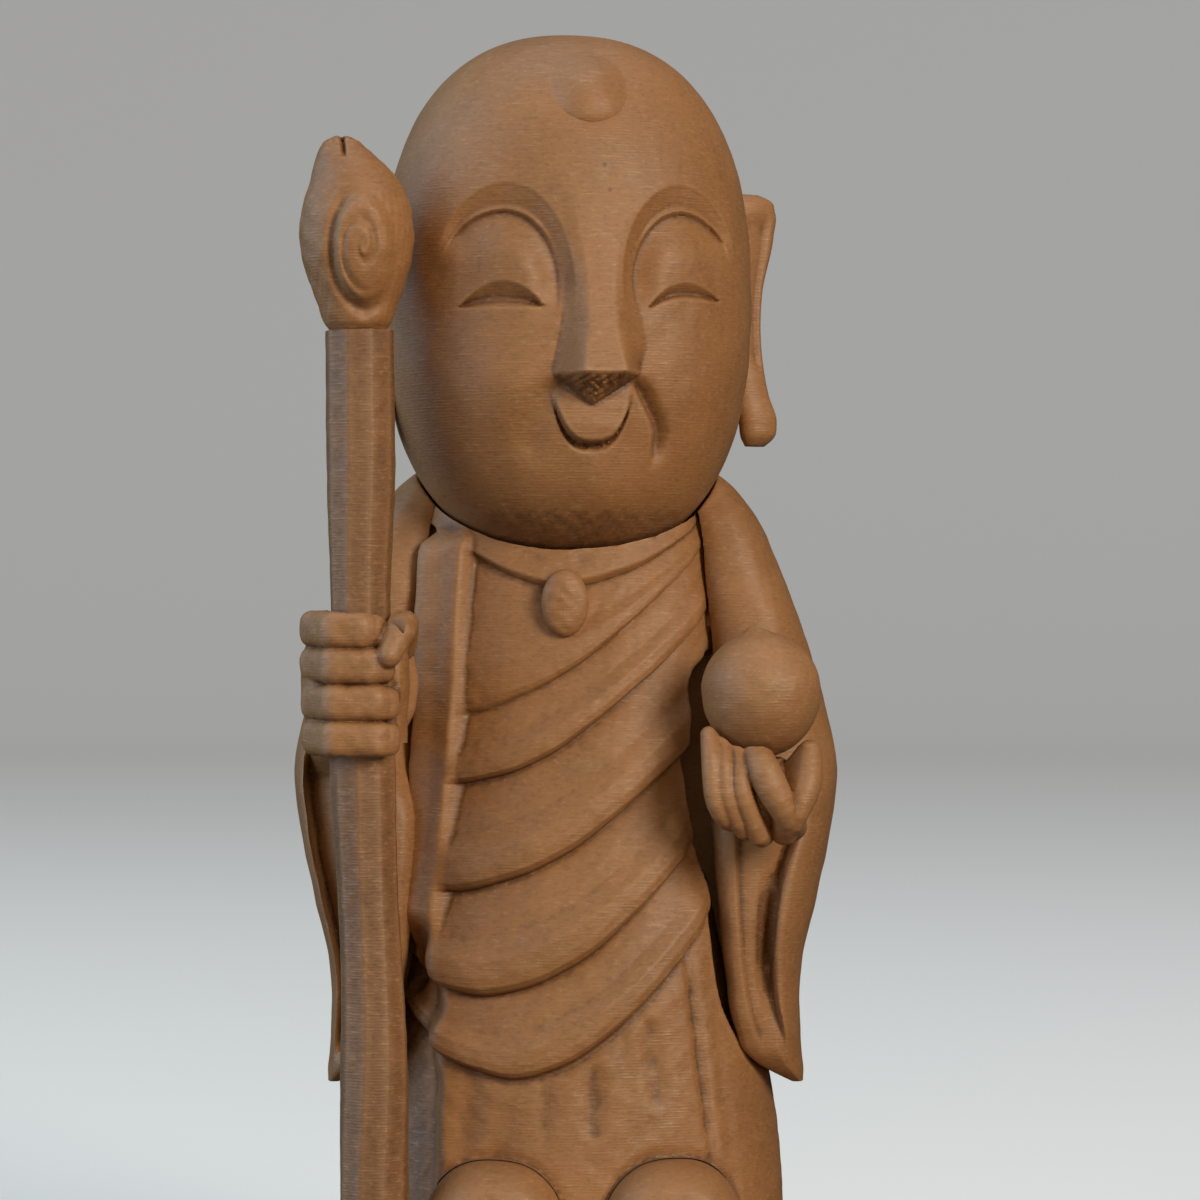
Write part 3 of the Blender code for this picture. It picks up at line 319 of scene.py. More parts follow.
def faceRelief(x, z):
    # height of the carving over the plain head, and the painted shade in its hollows and under it: ellipses
    # for brow and lid, a crescent for the eye, a wedge for the nose, a round pad for the lip and bells for
    # cheek and chin
    side = np.abs(x)
    brow, lid = (np.hypot((side - middle) / np.where(side < middle, inwards, outwards), z / height)
                 for middle, inwards, outwards, height in (face["brow"], face["lid"]))
    band = np.clip((lid - 1) / np.maximum(lid - brow, 0.001), 0, 1)
    inBand = -face["sink"] * (1 - band) ** 0.9 + 0.26 * hump(0.16, 0.12, band) * ease(2.0, 4.2, side)
    inLid = -face["sink"] * ease(0.35, 1.0, lid) ** 1.2
    socket = np.where(lid > 1, inBand, inLid)
    socket = socket * ease(1.01, 0.95, brow) * ease(-2.8, 1.0, z) * ease(10.9, 8.6, side)
    socket = socket * (1 - ease(7.2, 9.2, side) * ease(4.2, 1.6, z))
    # eye: a crescent under a bow, thicker on the right
    across = np.clip((side - face["eyeMiddle"]) / face["eyeReach"], -1.3, 1.3)
    bow = np.clip(1 - across ** 2, 0, None)
    top = face["eyeBow"] * bow - face["eyeDrop"] + np.where(x > 0, 0.6, 0.0) * np.clip(across, 0, 1.2) ** 2
    thick = bow * np.where(x < 0, *face["eyeThick"]) + 0.15
    share = (z - top + thick) / thick
    gape = ease(1.12, 0.85, np.abs(across)) * ease(-0.45, 0.10, share) * ease(1.06, 0.96, share)
    slit = -np.where(x < 0, *face["eyeDepth"]) * np.clip((1.06 - share) / 0.85, 0, 1) * gape
    # nose: a flat ridge with a plain wall on its right and a softer one on its left
    rows, ridges, wings, rises = np.array(face["nose"]).T
    ridge, wing = np.interp(z, rows, ridges), np.interp(z, rows, wings)
    wing = wing + np.where(x > 0, 0.8, 0.0) * ease(-5.7, -3.6, z)
    aside = x - face["noseMiddle"]
    lower = np.where(aside < 0, -0.81 * aside, 0.63 * aside) + face["noseTip"]
    below = np.clip((z - lower) / np.maximum(face["noseFoot"] - lower, 0.05), 0, 1)
    slope = np.clip((wing - side) / (wing - ridge), 0, 1)
    plain = np.where(x > 0, 0.15, 0.6)
    wall = plain * slope + (1 - plain) * ease(0, 1, slope)
    nose = np.interp(z, rows, rises) * wall * below ** 0.7
    # mouth: a lip pad with a rough curved edge, and the folds of the smile beside it
    off = np.abs(x - face["mouthMiddle"])
    edge = 2.1 * (off / face["mouthReach"]) ** 3.0 + face["mouthLevel"]
    pad = ease(2.95, 2.25, off) * ease(-6.6, -8.2, z)
    lip = face["lipRise"] * ease(edge - 0.06, edge + 0.26, z) * pad * (1 - 0.35 * ease(-9.6, -8.0, z))
    seam = hump(0, 0.24, z - edge + 0.10) * ease(2.75, 2.2, off) * ease(-8.0, -8.9, z)
    mouth = -0.45 * hump(0, 0.24, z - edge + 0.18) * ease(3.0, 2.3, off) * ease(-7.8, -8.9, z)
    crease = np.interp(z, *np.array(face["smile"]).T)
    inner, outer = np.where(x > 0, 0.28, 0.9), np.where(x > 0, 0.75, 1.1)
    smile = np.where(side > crease, hump(0, outer, side - crease), hump(0, inner, side - crease))
    smile = -np.where(x > 0, 0.80, 0.30) * smile * ease(-12.2, -10.2, z) * ease(-5.8, -7.0, z)
    cheek = 0.5 * hump(7.0, 3.4, side) * hump(-6.5, 3.6, z)
    chin = 0.35 * hump(0, 3.0, x) * hump(-13.4, 2.2, z)
    nostril = ease(1.0, 0.75, below) * ease(0.0, 0.15, below) * ease(3.0, 2.6, side)
    under = ease(-13.6, -15.6, z)
    rough = 0.17 * grain(x, 0 * x, z, 0.26) * (1.6 * nostril + 2.0 * seam)
    rough = rough + 0.07 * under * grain(x, 0 * x, z, 0.6)
    fold = 0.35 * smile / -0.8 * (x > 0)
    # painted shade: under the nose, along the mouth line, in the eye crescents, under the chin and in the smile
    # fold on the figure's left
    paintedShade = 0.75 * nostril + 0.45 * seam + np.where(x < 0, 0.40, 0.30) * gape + 0.9 * under + fold
    return socket + slit + nose + lip + mouth + smile + cheek + chin + rough, paintedShade


def plainHead(angle, tilt):
    # superellipsoid: level outline of one power, upright outline of another, chin pushed forward by
    # the square of its depth under the middle
    across, ahead = roundSection(angle, head["section"])
    up = np.sign(tilt) * np.abs(np.sin(tilt)) ** (2 / head["curve"])
    flat = np.abs(np.cos(tilt)) ** (2 / head["curve"])
    forward = head["depth"] / 2 * flat * ahead + head["jaw"] * np.clip(-up, 0, 1) ** 2
    return head["width"] / 2 * flat * across, -forward, head["height"] / 2 * up


def placeHead(x, y, z):
    # own frame of the head turned about the upright axis and set on the body
    turn = math.radians(head["turn"])
    ahead = x * math.sin(turn) + y * math.cos(turn) - head["forward"]
    return onFigure(x * math.cos(turn) - y * math.sin(turn), ahead, z + head["chin"] + head["height"] / 2)


def headUnderside(x, y):
    # height of the head's lower half over a place of the figure, found by repeated halving
    # towards the surface
    turn = math.radians(head["turn"])
    ahead = y + head["forward"]
    ownX = x * math.cos(turn) + ahead * math.sin(turn)
    ownY = ahead * math.cos(turn) - x * math.sin(turn)
    up = np.full(np.shape(x), -0.9)
    for _ in range(14):
        reach = (np.abs(ownX) / (head["width"] / 2)) ** head["section"]
        reach = reach + (np.abs(ownY + head["jaw"] * up ** 2) / (head["depth"] / 2)) ** head["section"]
        inside = np.clip(1 - reach ** (head["curve"] / head["section"]), 0, 1)
        up = 0.5 * up - 0.5 * inside ** (1 / head["curve"])
    return np.where(inside > 0, head["chin"] + head["height"] / 2 * (up + 1), 999.0)


def carveHead():
    # rows and columns lie close together over the face and further apart behind it
    low, high = (angleAt(share, head["curve"]) for share in head["fineUp"])
    tilts = np.concatenate([np.linspace(-math.pi / 2, low, head["chinRows"], False)[1:],
                            angleAt(np.linspace(*head["fineUp"], head["fineRows"]), head["curve"]),
                            np.linspace(math.pi / 2, high, head["crownRows"], False)[:0:-1]])
    shares = np.linspace(-head["fineAcross"], head["fineAcross"], head["fineColumns"])
    front = angleAt(shares, head["section"])
    back = np.linspace(front[-1], 2 * math.pi + front[0], head["backColumns"], False)[1:]
    angle, tilt = np.meshgrid(np.concatenate([front, back]), tilts)
    x, y, z = plainHead(angle, tilt)
    relief, paintedShade = faceRelief(x, z)
    facing = ease(0.12, 0.5, np.cos(angle))
    y = y - relief * facing
    wave = 0.06 * grain(x, y, z, 2.6) * np.cos(tilt)
    scar = 0.16 * hump(-2.6, 0.7, x) * hump(16.6, 0.45, z) * (0.6 + grain(x, y, z, 0.25))
    pins = sum(1.5 * hump(across, 0.15, x) * hump(up, 0.15, z) for across, up in head["pins"])
    # painted shade of the face, with darker dots at the pin marks and along the scar
    shadeAndMarks = (paintedShade + pins + 2 * np.abs(scar)) * facing
    return placeHead(x * (1 + wave / 12), y * (1 + wave / 12) - scar * facing, z), shadeAndMarks


# height, distance outwards, half-thickness, distance back, half-length of each ring
ear = {"flare": 60.0, "rows": 110, "columns": 64, "stations": (
    (-10.2, 13.4, 0.5, -0.2, 0.8), (-9.7, 13.55, 0.9, -0.3, 1.25), (-8.6, 13.6, 1.1, -0.3, 1.5),
    (-6.5, 13.1, 1.0, -0.3, 1.40), (-3.0, 12.75, 0.9, -0.4, 1.15), (0.5, 12.75, 0.9, -0.5, 1.25),
    (4.5, 13.1, 1.0, -0.5, 1.9), (6.3, 13.2, 0.95, -0.4, 1.95), (7.1, 13.1, 0.75, -0.3, 1.6),
    (7.4, 13.0, 0.4, -0.2, 0.9))}


def carveEar(side):
    # flat oval rings stacked upwards, the broad face turned forward and slightly dished within its outer rim
    up, turn = stacked(ear)
    out, thick, back, length = through(ear["stations"], up)
    u, v = np.cos(turn), np.sin(turn)
    dish = ease(0.62, 0.20, v) * ease(-5.6, -3.6, up) * ease(6.6, 5.0, up)
    u = np.where(u > 0, u * (1 - 0.40 * dish), u)
    flare = math.radians(ear["flare"])
    x = out + thick * u * math.cos(flare) + length * v * math.sin(flare)
    y = back - thick * u * math.sin(flare) + length * v * math.cos(flare)
    return placeHead(side * x, y, up)


urna = {"radius": 2.75, "rise": 1.05, "height": 13.85, "rows": 60, "columns": 96}


def carveUrna():
    # mound on the brow: rise times a power of one less the square of the radius, steeper below than above
    share, turn = rings(np.linspace(0, 1.3, urna["rows"]), urna["columns"])
    radius = urna["radius"] * np.clip(1.3 - share, 0.01, 1)
    x, z = radius * np.sin(turn), urna["height"] + radius * np.cos(turn)
    flat = (1 - (z / (head["height"] / 2)) ** head["curve"]) ** (head["section"] / head["curve"])
    ahead = (flat - np.abs(x / (head["width"] / 2)) ** head["section"]) ** (1 / head["section"])
    steep = 1.25 + 0.45 * np.cos(turn)
    lift = urna["rise"] * np.clip(1 - (radius / urna["radius"]) ** 2, 0, 1) ** steep - 0.05
    lift = np.where(share < 0.3, -0.05 - 3.0 * (0.3 - share), lift)
    return placeHead(x, -head["depth"] / 2 * ahead - lift, z)


headGrid, headShadeAndMarks = carveHead()
addPiece("headCarved", headGrid, "head", ("head",), paintedShade=headShadeAndMarks)
addPiece("earLeft", carveEar(1), "head", ())
addPiece("earRight", carveEar(-1), "head", ())
addPiece("foreheadDome", carveUrna(), "head", ("forehead_jewel",))


# Robe: front and back block of the body
robe = {
    "hem": 0.6, "top": 54.0, "section": 2.3, "gap": 0.3, "seam": 0.02, "frontColumns": 230, "backColumns": 150,
    "plug": 3.3, "plugDepth": 7.0, "fold": 0.95, "lapel": 1.3, "collar": 0.45,
    # height, half-width, depth in front, depth behind
    "stations": (
        (0.6, 15.2, 12.2, 11.0), (5.7, 14.9, 11.8, 10.8), (10.7, 14.2, 11.6, 10.5), (15.7, 13.2, 11.4, 10.2),
        (21.7, 12.2, 11.2, 9.9), (28.7, 11.2, 10.6, 9.5), (35.7, 10.6, 9.9, 9.1), (43.7, 10.4, 8.9, 8.5),
        (48.7, 9.8, 7.9, 7.8), (54.0, 7.0, 5.8, 5.8)),
    # low point across, its height, rise to the right flank, rise to the left flank
    "folds": (
        (-0.25, 11.1, 5.5, 14.7), (-0.4, 16.6, 2.6, 14.3), (-0.63, 23.6, 1.0, 12.7), (-0.64, 30.9, 1.0, 12.8),
        (-0.7, 35.6, 0.8, 12.5), (0.0, 44.2, 5.0, 5.0)),
    # share of the way up a fold, share of its full height
    "foldShape": (
        (0, -0.15), (0.03, 0.5), (0.08, 0.86), (0.18, 1.0), (0.34, 0.97), (0.44, 0.72), (0.54, 0.45),
        (0.75, 0.25), (0.93, 0.02), (1.0, -0.15)),
    # height and place across where the hollow beside the left sleeve begins
    "edge": (
        (10.5, 13.6), (12.5, 12.4), (15.4, 10.9), (19.6, 10.1), (23.5, 9.7), (26.5, 8.9), (29.5, 8.2),
        (33.0, 8.0), (36.0, 8.05), (38.4, 8.5), (39.6, 9.5)),
    # skirt: place across, half-width, lower end, upper end, depth
    "gouges": (
        (-6.6, 1.1, 5.5, 12.0, 0.35), (-1.3, 0.65, 6.2, 11.2, 0.14), (2.0, 0.8, 7.0, 12.2, 0.34),
        (4.6, 0.65, 9.4, 14.4, 0.12), (6.4, 0.85, 9.0, 15.2, 0.34), (9.6, 0.42, 4.5, 20.5, 0.34),
        (10.9, 0.5, 3.0, 15.0, 0.12), (-4.0, 1.1, 2.0, 9.5, 0.2))}
foot = {"middle": 1.3, "spread": 6.0, "width": 9.2, "length": 10.4, "rise": 5.3, "ahead": -11.0, "room": 0.5,
        "peg": -8.78, "section": 2.4, "dome": 2.5, "sole": 0.08, "toes": 5, "rows": 110, "columns": 200}


def foldLine(fold, across):
    # power curve rising from the low point to each flank, a little uneven as a cut edge is
    low, level, right, left = fold
    uneven = 0.06 * np.sin(8 * across + level) + 0.02 * np.sin(21 * across + 2 * level)
    return (level + uneven + left * np.clip((across - low) / (1 - low), 0, None) ** 1.67
            + right * np.clip((low - across) / (1 + low), 0, None) ** 1.67)


def headRoom(x, y, h):
    # ceiling over the shoulders: the head's underside less the gap, and the hole of the neck plug
    under = headUnderside(x, y) - robe["gap"]
    hole = headUnderside(np.array(0.0), np.array(0.0)) - robe["plugDepth"]
    return np.minimum(h, np.where(np.hypot(x, y) < robe["plug"], hole, under))


def archShare(x, side):
    # distance across from the middle of a foot, in half-widths of the arch over it
    return np.abs(x - foot["middle"] - side * foot["spread"]) / (foot["width"] / 2 + foot["room"])


def archHeight(share):
    # superellipse arch that clears a foot
    return (foot["rise"] + foot["room"]) * np.sqrt(1 - share ** foot["dome"])


def footRoom(x, y, h):
    # floor over the feet: a superellipse dome with the clearance round it
    for side in (-1, 1):
        wide = archShare(x, side)
        deep = np.abs(y - foot["ahead"]) / (foot["length"] / 2 + foot["room"])
        flat = np.clip((wide ** foot["section"] + deep ** foot["section"]) ** (1 / foot["section"]), 0, 1)
        h = np.where(flat < 1, np.maximum(h, archHeight(flat)), h)
    return h


def robeRows(across):
    # rows of heights from hem to shoulder that follow the folds, and the relief of the front on each row
    hem = np.full(across.shape, robe["hem"])
    first = foldLine(robe["folds"][0], across)
    levels, reliefs = [], []
    side = ease(-0.99, -0.93, across) * ease(0.97, 0.80, across)
    for part in np.linspace(0, 0.985, 70):
        levels.append(hem + part * (first - hem))
        reliefs.append(-0.25 * hump(1.0, 0.06, part) * side)
    steps = np.concatenate([np.linspace(0, 0.1, 9, False), np.linspace(0.1, 0.62, 20, False),
                            np.linspace(0.62, 0.985, 9)])
    for low, high in zip(robe["folds"], robe["folds"][1:]):
        bottom, top = foldLine(low, across), foldLine(high, across)
        strength = robe["fold"] * np.interp(low[1], (11, 16, 23, 31, 36), (1.0, 1.15, 1.1, 0.9, 0.5))
        for part in steps:
            levels.append(bottom + part * (top - bottom))
            reliefs.append(strength * np.interp(part, *np.array(robe["foldShape"]).T) * side)
    top = foldLine(robe["folds"][-1], across)
    for part in np.concatenate([np.linspace(0, 0.12, 8, False), np.linspace(0.12, 1, 26)]):
        levels.append(top + part * (robe["top"] - top))
        reliefs.append(robe["collar"] * np.interp(part, (0, 0.05, 0.4, 1), (0, 1, 0.8, 0)) * side)
    return np.array(levels), np.array(reliefs)


def robeDetail(across, levels, reliefs):
    # lapel strip, gaps beside the sleeves, gouges of the skirt, the channel beside the staff and the rims
    # of the arches, each a bell or a step across times a range upwards
    half = through(robe["stations"], levels)[0]
    x = half * across
    middle = np.interp(levels, (19, 46), (-0.775, -0.75))
    wide = np.interp(levels, (18, 46), (0.085, 0.125))
    strip = ease(wide + 0.035, wide - 0.025, np.abs(across - middle))
    strip = strip * ease(15.5, 23.0, levels) * ease(48.6, 47.0, levels)
    raised = robe["lapel"] * (0.95 + 0.40 * ease(0.02, -0.10, across - middle))
    raised = raised * np.interp(levels, (16, 30), (0.95, 1.0))
    reliefs = reliefs * (1 - strip) + raised * strip
    reliefs = reliefs - 1.7 * hump(-0.955, 0.035, across) * ease(20, 26, levels) * ease(45, 40, levels)
    for place, width, low, high, depth in robe["gouges"]:
        lean = place + 0.12 * np.sign(place) * (9.0 - levels) * (np.abs(place) > 3)
        along = np.clip((levels - low) / (high - low), 0, 1)
        leaf = np.clip(4 * along * (1 - along), 0, 1) ** 0.6
        reliefs = reliefs - depth * hump(lean, width * (0.55 + 0.45 * leaf), x) * leaf
    reliefs = reliefs - 1.3 * hump(-0.90, 0.055, across) * hump(17.6, 1.1, levels)
    edge, = through(robe["edge"], levels)
    deep = np.interp(levels, (11, 15, 24, 27, 38, 40), (0.0, 1.6, 2.0, 3.2, 3.0, 0.0))
    reliefs = reliefs * (1 - 0.7 * ease(edge - 1.6, edge + 0.1, x) * ease(32, 28, levels))
    reliefs = reliefs - deep * ease(edge - 0.12, edge + 0.40, x)
    bank = -8.8 - 0.30 * np.sin(1.05 * levels + 0.6) * ease(9.0, 12.5, levels)
    reliefs = reliefs - 1.9 * ease(bank + 0.7, bank - 1.3, x) * ease(22.5, 19.5, levels)
    for side in (-1, 1):
        share = np.clip(archShare(x, side), 0, 1)
        reliefs = reliefs - 0.22 * hump(0.0, 0.55, levels - archHeight(share)) * ease(1.0, 0.9, share)
    return reliefs + 0.06 * grain(x, 0 * x, levels, 1.3)


def carveRobe(front):
    # half ring of the outer surface, closed by the joint plane; the top follows the head,
    # the hem clears the feet
    towards = -1 if front else 1
    count = robe["frontColumns"] if front else robe["backColumns"]
    angle = (-math.pi / 2 if front else math.pi / 2) + np.linspace(0, math.pi, count)
    across, ahead = roundSection(angle, robe["section"])
    levels, reliefs = robeRows(across)
    if front:
        reliefs = robeDetail(across, levels, reliefs)
    else:
        pleats = np.cos(across * 9 + 0.5 * np.sin(levels / 9)) * ease(34, 6, levels)
        pleats = pleats + 0.5 * np.cos(across * 21 + 1)
        reliefs = 0.28 * pleats * ease(0.95, 0.7, np.abs(across))
        reliefs = reliefs + 0.04 * grain(across * 12, 0 * levels, levels, 1.5)
    half, frontDepth, backDepth = through(robe["stations"], levels)
    depth = frontDepth if front else backDepth
    wayX = np.sign(across) * np.abs(across) ** (robe["section"] - 1) / half
    wayY = towards * np.abs(ahead) ** (robe["section"] - 1) / depth
    size = np.hypot(wayX, wayY)
    x = half * across + reliefs * wayX / size
    y = towards * depth * np.abs(ahead) + reliefs * wayY / size
    shares = np.linspace(0, 1, 64)[1:-1]
    joinX = x[:, -1:] + (x[:, :1] - x[:, -1:]) * shares
    joinH = levels[:, -1:] + (levels[:, :1] - levels[:, -1:]) * shares
    x, levels = np.hstack([x, joinX]), np.hstack([levels, joinH])
    y = np.hstack([y, np.full(joinX.shape, towards * robe["seam"])])
    shrink = np.linspace(1, 0.04, 24)[1:, None]
    low = np.linspace(0.04, 1, 24)[:-1, None]
    x = np.vstack([x[:1] * low, x, x[-1:] * shrink])
    y = np.vstack([y[:1] * low, y, y[-1:] * shrink])
    y = towards * np.maximum(towards * y, robe["seam"])
    levels = np.vstack([levels[:1] * np.ones(low.shape), levels, levels[-1:] * np.ones(shrink.shape)])
    levels = headRoom(x, y, levels)
    if front:
        levels = footRoom(x, y, levels)
    return onFigure(x, y, levels)


# Painted shade on the front: under the chin and in the channel beside the staff
robeGrid = carveRobe(True)
robeX, robeY, robeH = np.moveaxis(robeGrid / mm, -1, 0) - np.array((0, 0, soles))[:, None, None]
robeShade = 0.7 * ease(2.4, 0.4, headUnderside(robeX, robeY) - robeH)
robeShade = robeShade + 0.9 * ease(-8.9, -9.9, robeX) * ease(23.0, 19.0, robeH)
addPiece("robeFront", robeGrid, "figure", ("body_front",), paintedShade=robeShade)
addPiece("robeBack", carveRobe(False), "figure", ("body_back",))

pendant = {"width": 3.2, "height": 4.6, "rise": 0.95, "level": 43.2, "face": -9.75, "rim": 0.25, "curve": 0.8,
           "rows": 40, "columns": 64}


def carvePendant():
    # oval dome: outline and rise are the cosine and sine of one lean, each to a power; the first rows
    # run back into the chest
    share, turn = rings(np.linspace(0, 1, pendant["rows"]), pendant["columns"])
    lean = np.clip((share - pendant["rim"]) / (1 - pendant["rim"]), 0, 1) * math.pi / 2 * 0.98
    flat = np.cos(lean) ** pendant["curve"]
    back = np.clip(1 - share / pendant["rim"], 0, 1)
    x = pendant["width"] / 2 * flat * np.sin(turn)
    h = pendant["level"] + pendant["height"] / 2 * flat * np.cos(turn)
    y = pendant["face"] + back - pendant["rise"] * np.sin(lean) ** pendant["curve"] - 0.06 * grain(x, x, h, 0.7)
    return onFigure(x, y, h)


addPiece("chestPendant", carvePendant(), "figure", ("pendant",))


# Sleeves: shoulder and hanging sleeve on each side
sleeve = {
    "section": 2.5, "corner": 7.0, "rows": 250, "columns": 190,
    # height, inner side, outer side, front, back
    "stations": (
        (10.2, 15.6, 16.5, -4.4, 2.4), (10.8, 14.4, 16.5, -5.4, 3.4), (12.0, 12.5, 16.4, -6.6, 4.3),
        (14.0, 11.5, 16.3, -7.6, 5.1), (17.7, 10.9, 16.3, -8.4, 6.0), (22.7, 10.35, 17.4, -9.0, 6.8),
        (28.7, 9.9, 18.6, -9.0, 7.3), (31.7, 9.8, 18.9, -8.5, 7.4), (35.7, 9.6, 18.2, -7.0, 7.2),
        (39.7, 9.2, 17.1, -6.2, 6.9), (45.7, 8.3, 14.9, -5.5, 6.3), (49.7, 7.6, 13.0, -4.0, 5.5),
        (51.7, 7.0, 11.3, -2.5, 4.6), (53.2, 6.5, 9.3, -0.5, 3.2)),
    # height, edge of the inner rim, middle of the slit
    "mouth": (
        (10.0, 14.6, 15.2), (13.6, 13.1, 14.6), (16.0, 12.5, 14.05), (20.0, 12.0, 13.75), (24.6, 11.75, 14.4),
        (27.8, 11.7, 15.4), (31.0, 11.7, 16.2))}


def carveSleeve(side):
    # rounded rings stacked upwards, squarer at the inner front; the front is stepped in behind the rim
    # and cut by the slit
    level, angle = stacked(sleeve)
    inner, outer, front, back = through(sleeve["stations"], level)
    square = ease(0.25, -0.4, np.sin(angle)) * ease(-0.1, 0.4, np.cos(angle)) * ease(33.0, 28.0, level)
    across, ahead = ((1 - square) * soft + square * hard for soft, hard in
                     zip(roundSection(angle, sleeve["section"]), roundSection(angle, sleeve["corner"])))
    x = (inner + outer) / 2 + (outer - inner) / 2 * across
    y = (front + back) / 2 - (back - front) / 2 * ahead
    rim, slit = through(sleeve["mouth"], level)
    upright = ease(11.8, 15.0, level) * ease(31.0, 28.0, level) * ease(0.0, 0.35, ahead)
    step = 0.40 * ease(rim - 0.22, rim + 0.25, x) + 0.35 * np.clip((x - rim) / (slit - rim), 0, 1)
    sunk = step * ease(slit + 0.6, slit + 0.15, x) * upright
    cut = 1.15 * hump(0, 0.50, x - slit) * upright * ease(13.5, 19.0, level)
    if side < 0:      # the mouth of the right sleeve lies open behind a thin outer rim
        edge = outer - np.interp(level, (12, 20, 32), (0.5, 0.8, 0.95))
        cut = 2.6 * ease(edge + 0.1, edge - 0.35, x) * ease(12.9, 13.9, x)
        cut = cut * ease(11.5, 14.0, level) * ease(34.0, 31.0, level) * ease(0.0, 0.35, ahead)
        sunk = 0.0
    y = y + sunk + cut
    half, bodyFront, bodyBack = (v + 1.5 * robe["gap"] for v in through(robe["stations"], level))
    depth = np.where(y < 0, bodyFront, bodyBack)
    inside = (np.abs(x) / half) ** robe["section"] + (np.abs(y) / depth) ** robe["section"]
    push = np.where(inside < 1, np.maximum(inside, 1e-6) ** (-1 / robe["section"]), 1.0)
    push = 1 + (push - 1) * ease(-7.0, -4.5, y)
    x, y = x * push, y * push
    wave = 0.12 * np.sin(level * 0.5 + y) * ease(40, 30, level) * ease(0.2, -0.4, ahead)
    wave = wave + 0.05 * grain(x, y, level, 2.0)
    x = side * (x + wave * across)
    y = y - wave * ahead
    return onFigure(x, y, headRoom(x, y, level))


addPiece("sleeveRight", carveSleeve(-1), "figure", ("right_arm",))
addPiece("sleeveLeft", carveSleeve(1), "figure", ("left_arm",))


# Staff and bud
staff = {
    "x": -13.4, "y": -12.78, "lean": -1.0, "fist": 37.7, "radius": 2.22, "top": 61.45, "sides": 9, "rows": 300,
    "columns": 128,
    # height over the fist, swelling, bend aside
    "course": (
        (-37.7, 0.06, 0.0), (-32, 0.06, 0.08), (-26.7, 0.05, 0.2), (-20, -0.13, 0.2), (-13.6, -0.2, 0.0),
        (-5.3, -0.02, -0.18), (0, -0.16, -0.12), (4.6, -0.24, -0.18), (14, 0.05, 0.0), (23.5, 0.05, 0.08))}


def onStaff(x, y, z):
    # own axis of the staff, leaning about the fist
    lean = math.radians(staff["lean"])
    return onFigure(staff["x"] + x * math.cos(lean) + z * math.sin(lean), staff["y"] + y,
                    staff["fist"] + z * math.cos(lean) - x * math.sin(lean))


def carveStaff():
    # long facets: a soft polygon whose corners wander with the height, on a slightly bent and uneven pole
    z, angle = rings(np.linspace(-staff["fist"], staff["top"] - staff["fist"], staff["rows"]), staff["columns"])
    sector = 2 * math.pi / staff["sides"]
    within = np.mod(angle + 0.25 + 0.10 * np.sin(z * 0.13) + 0.04 * np.sin(z * 0.31), sector) - sector / 2
    facet = (math.cos(sector / 2) / np.cos(within)) ** 0.75
    swell, bend = through(staff["course"], z)
    radius = (staff["radius"] + swell) * facet * 1.03 + 0.035 * grain(angle * 2.2, 0 * z, z, 1.6)
    radius = radius + (ease(0, 0.5, z + staff["fist"]) * 0.06 - 0.06)
    return onStaff(radius * np.sin(angle) + bend, -radius * np.cos(angle), z)


bud = {
    "level": 61.5, "height": 13.0, "radius": 3.83, "rows": 260, "columns": 300,
    # oval boss on the front: middle across, middle as a share of the height, half-width, half-height
    "bossAcross": 0.62, "bossUp": 0.4, "bossWidth": 1.95, "bossHeight": 3.5,
    # share of the height, share of the radius
    "shape": (
        (0.0, 0.5), (0.03, 0.58), (0.06, 0.62), (0.1, 0.66), (0.17, 0.75), (0.28, 0.88), (0.38, 0.97),
        (0.48, 1.0), (0.58, 0.98), (0.68, 0.9), (0.79, 0.74), (0.88, 0.56), (0.94, 0.4),
        (0.98, 0.26), (1.0, 0.12))}


def carveBud():
    # turned bud with a tip that leans aside; on its front an oval boss with a groove round it and a soft curl
    share, turn = rings(np.linspace(0, 1, bud["rows"]), bud["columns"])
    angle = turn - 0.45 * np.sin(turn)
    radius = bud["radius"] * through(bud["shape"], share)[0]
    x, y = radius * np.sin(angle), -radius * np.cos(angle)
    z = bud["level"] - staff["fist"] + bud["height"] * share
    # curl: the radius in the oval falls evenly with the turn
    u = (x - bud["bossAcross"]) / bud["bossWidth"]
    v = (share - bud["bossUp"]) * bud["height"] / bud["bossHeight"]
    far, around = np.hypot(u, v), np.arctan2(v, -u)
    winding = far * 1.55 + np.mod(around + 2.6, 2 * math.pi) / (2 * math.pi)
    curl = hump(0.5, 0.20, np.mod(winding, 1.0)) * ease(0.95, 0.75, far) * ease(0.05, 0.2, far)
    boss = 0.45 * ease(1.10, 0.80, far)
    moat = 0.36 * hump(1.12, 0.15, far) * ease(-0.55, 0.6, np.cos(around + 0.55))
    facing = ease(0.1, 0.5, np.cos(angle))
    y = y - (boss - 0.18 * curl - moat) * facing
    # tip: two lobes with a cleft between them
    x = x - 0.95 * ease(0.72, 1.0, share)
    cleft = hump(-0.72 - 0.12 * (share - 0.93) / 0.07, 0.13, x) * ease(0.86, 0.92, share)
    y = y + 0.75 * cleft * facing
    z = z - 0.35 * cleft * ease(0.95, 1.0, share)
    wave = 0.07 * grain(x, y, z, 1.2) + 0.10 * grain(x, y, z, 0.35) * ease(0.9, 1.0, share)
    return onStaff(x + wave * np.sin(angle), y - wave * np.cos(angle), z)


addPiece("staffPole", carveStaff(), "staff", ("staff_shaft",), brownPole)
addPiece("staffBud", carveBud(), "staff", ("staff_finial",))


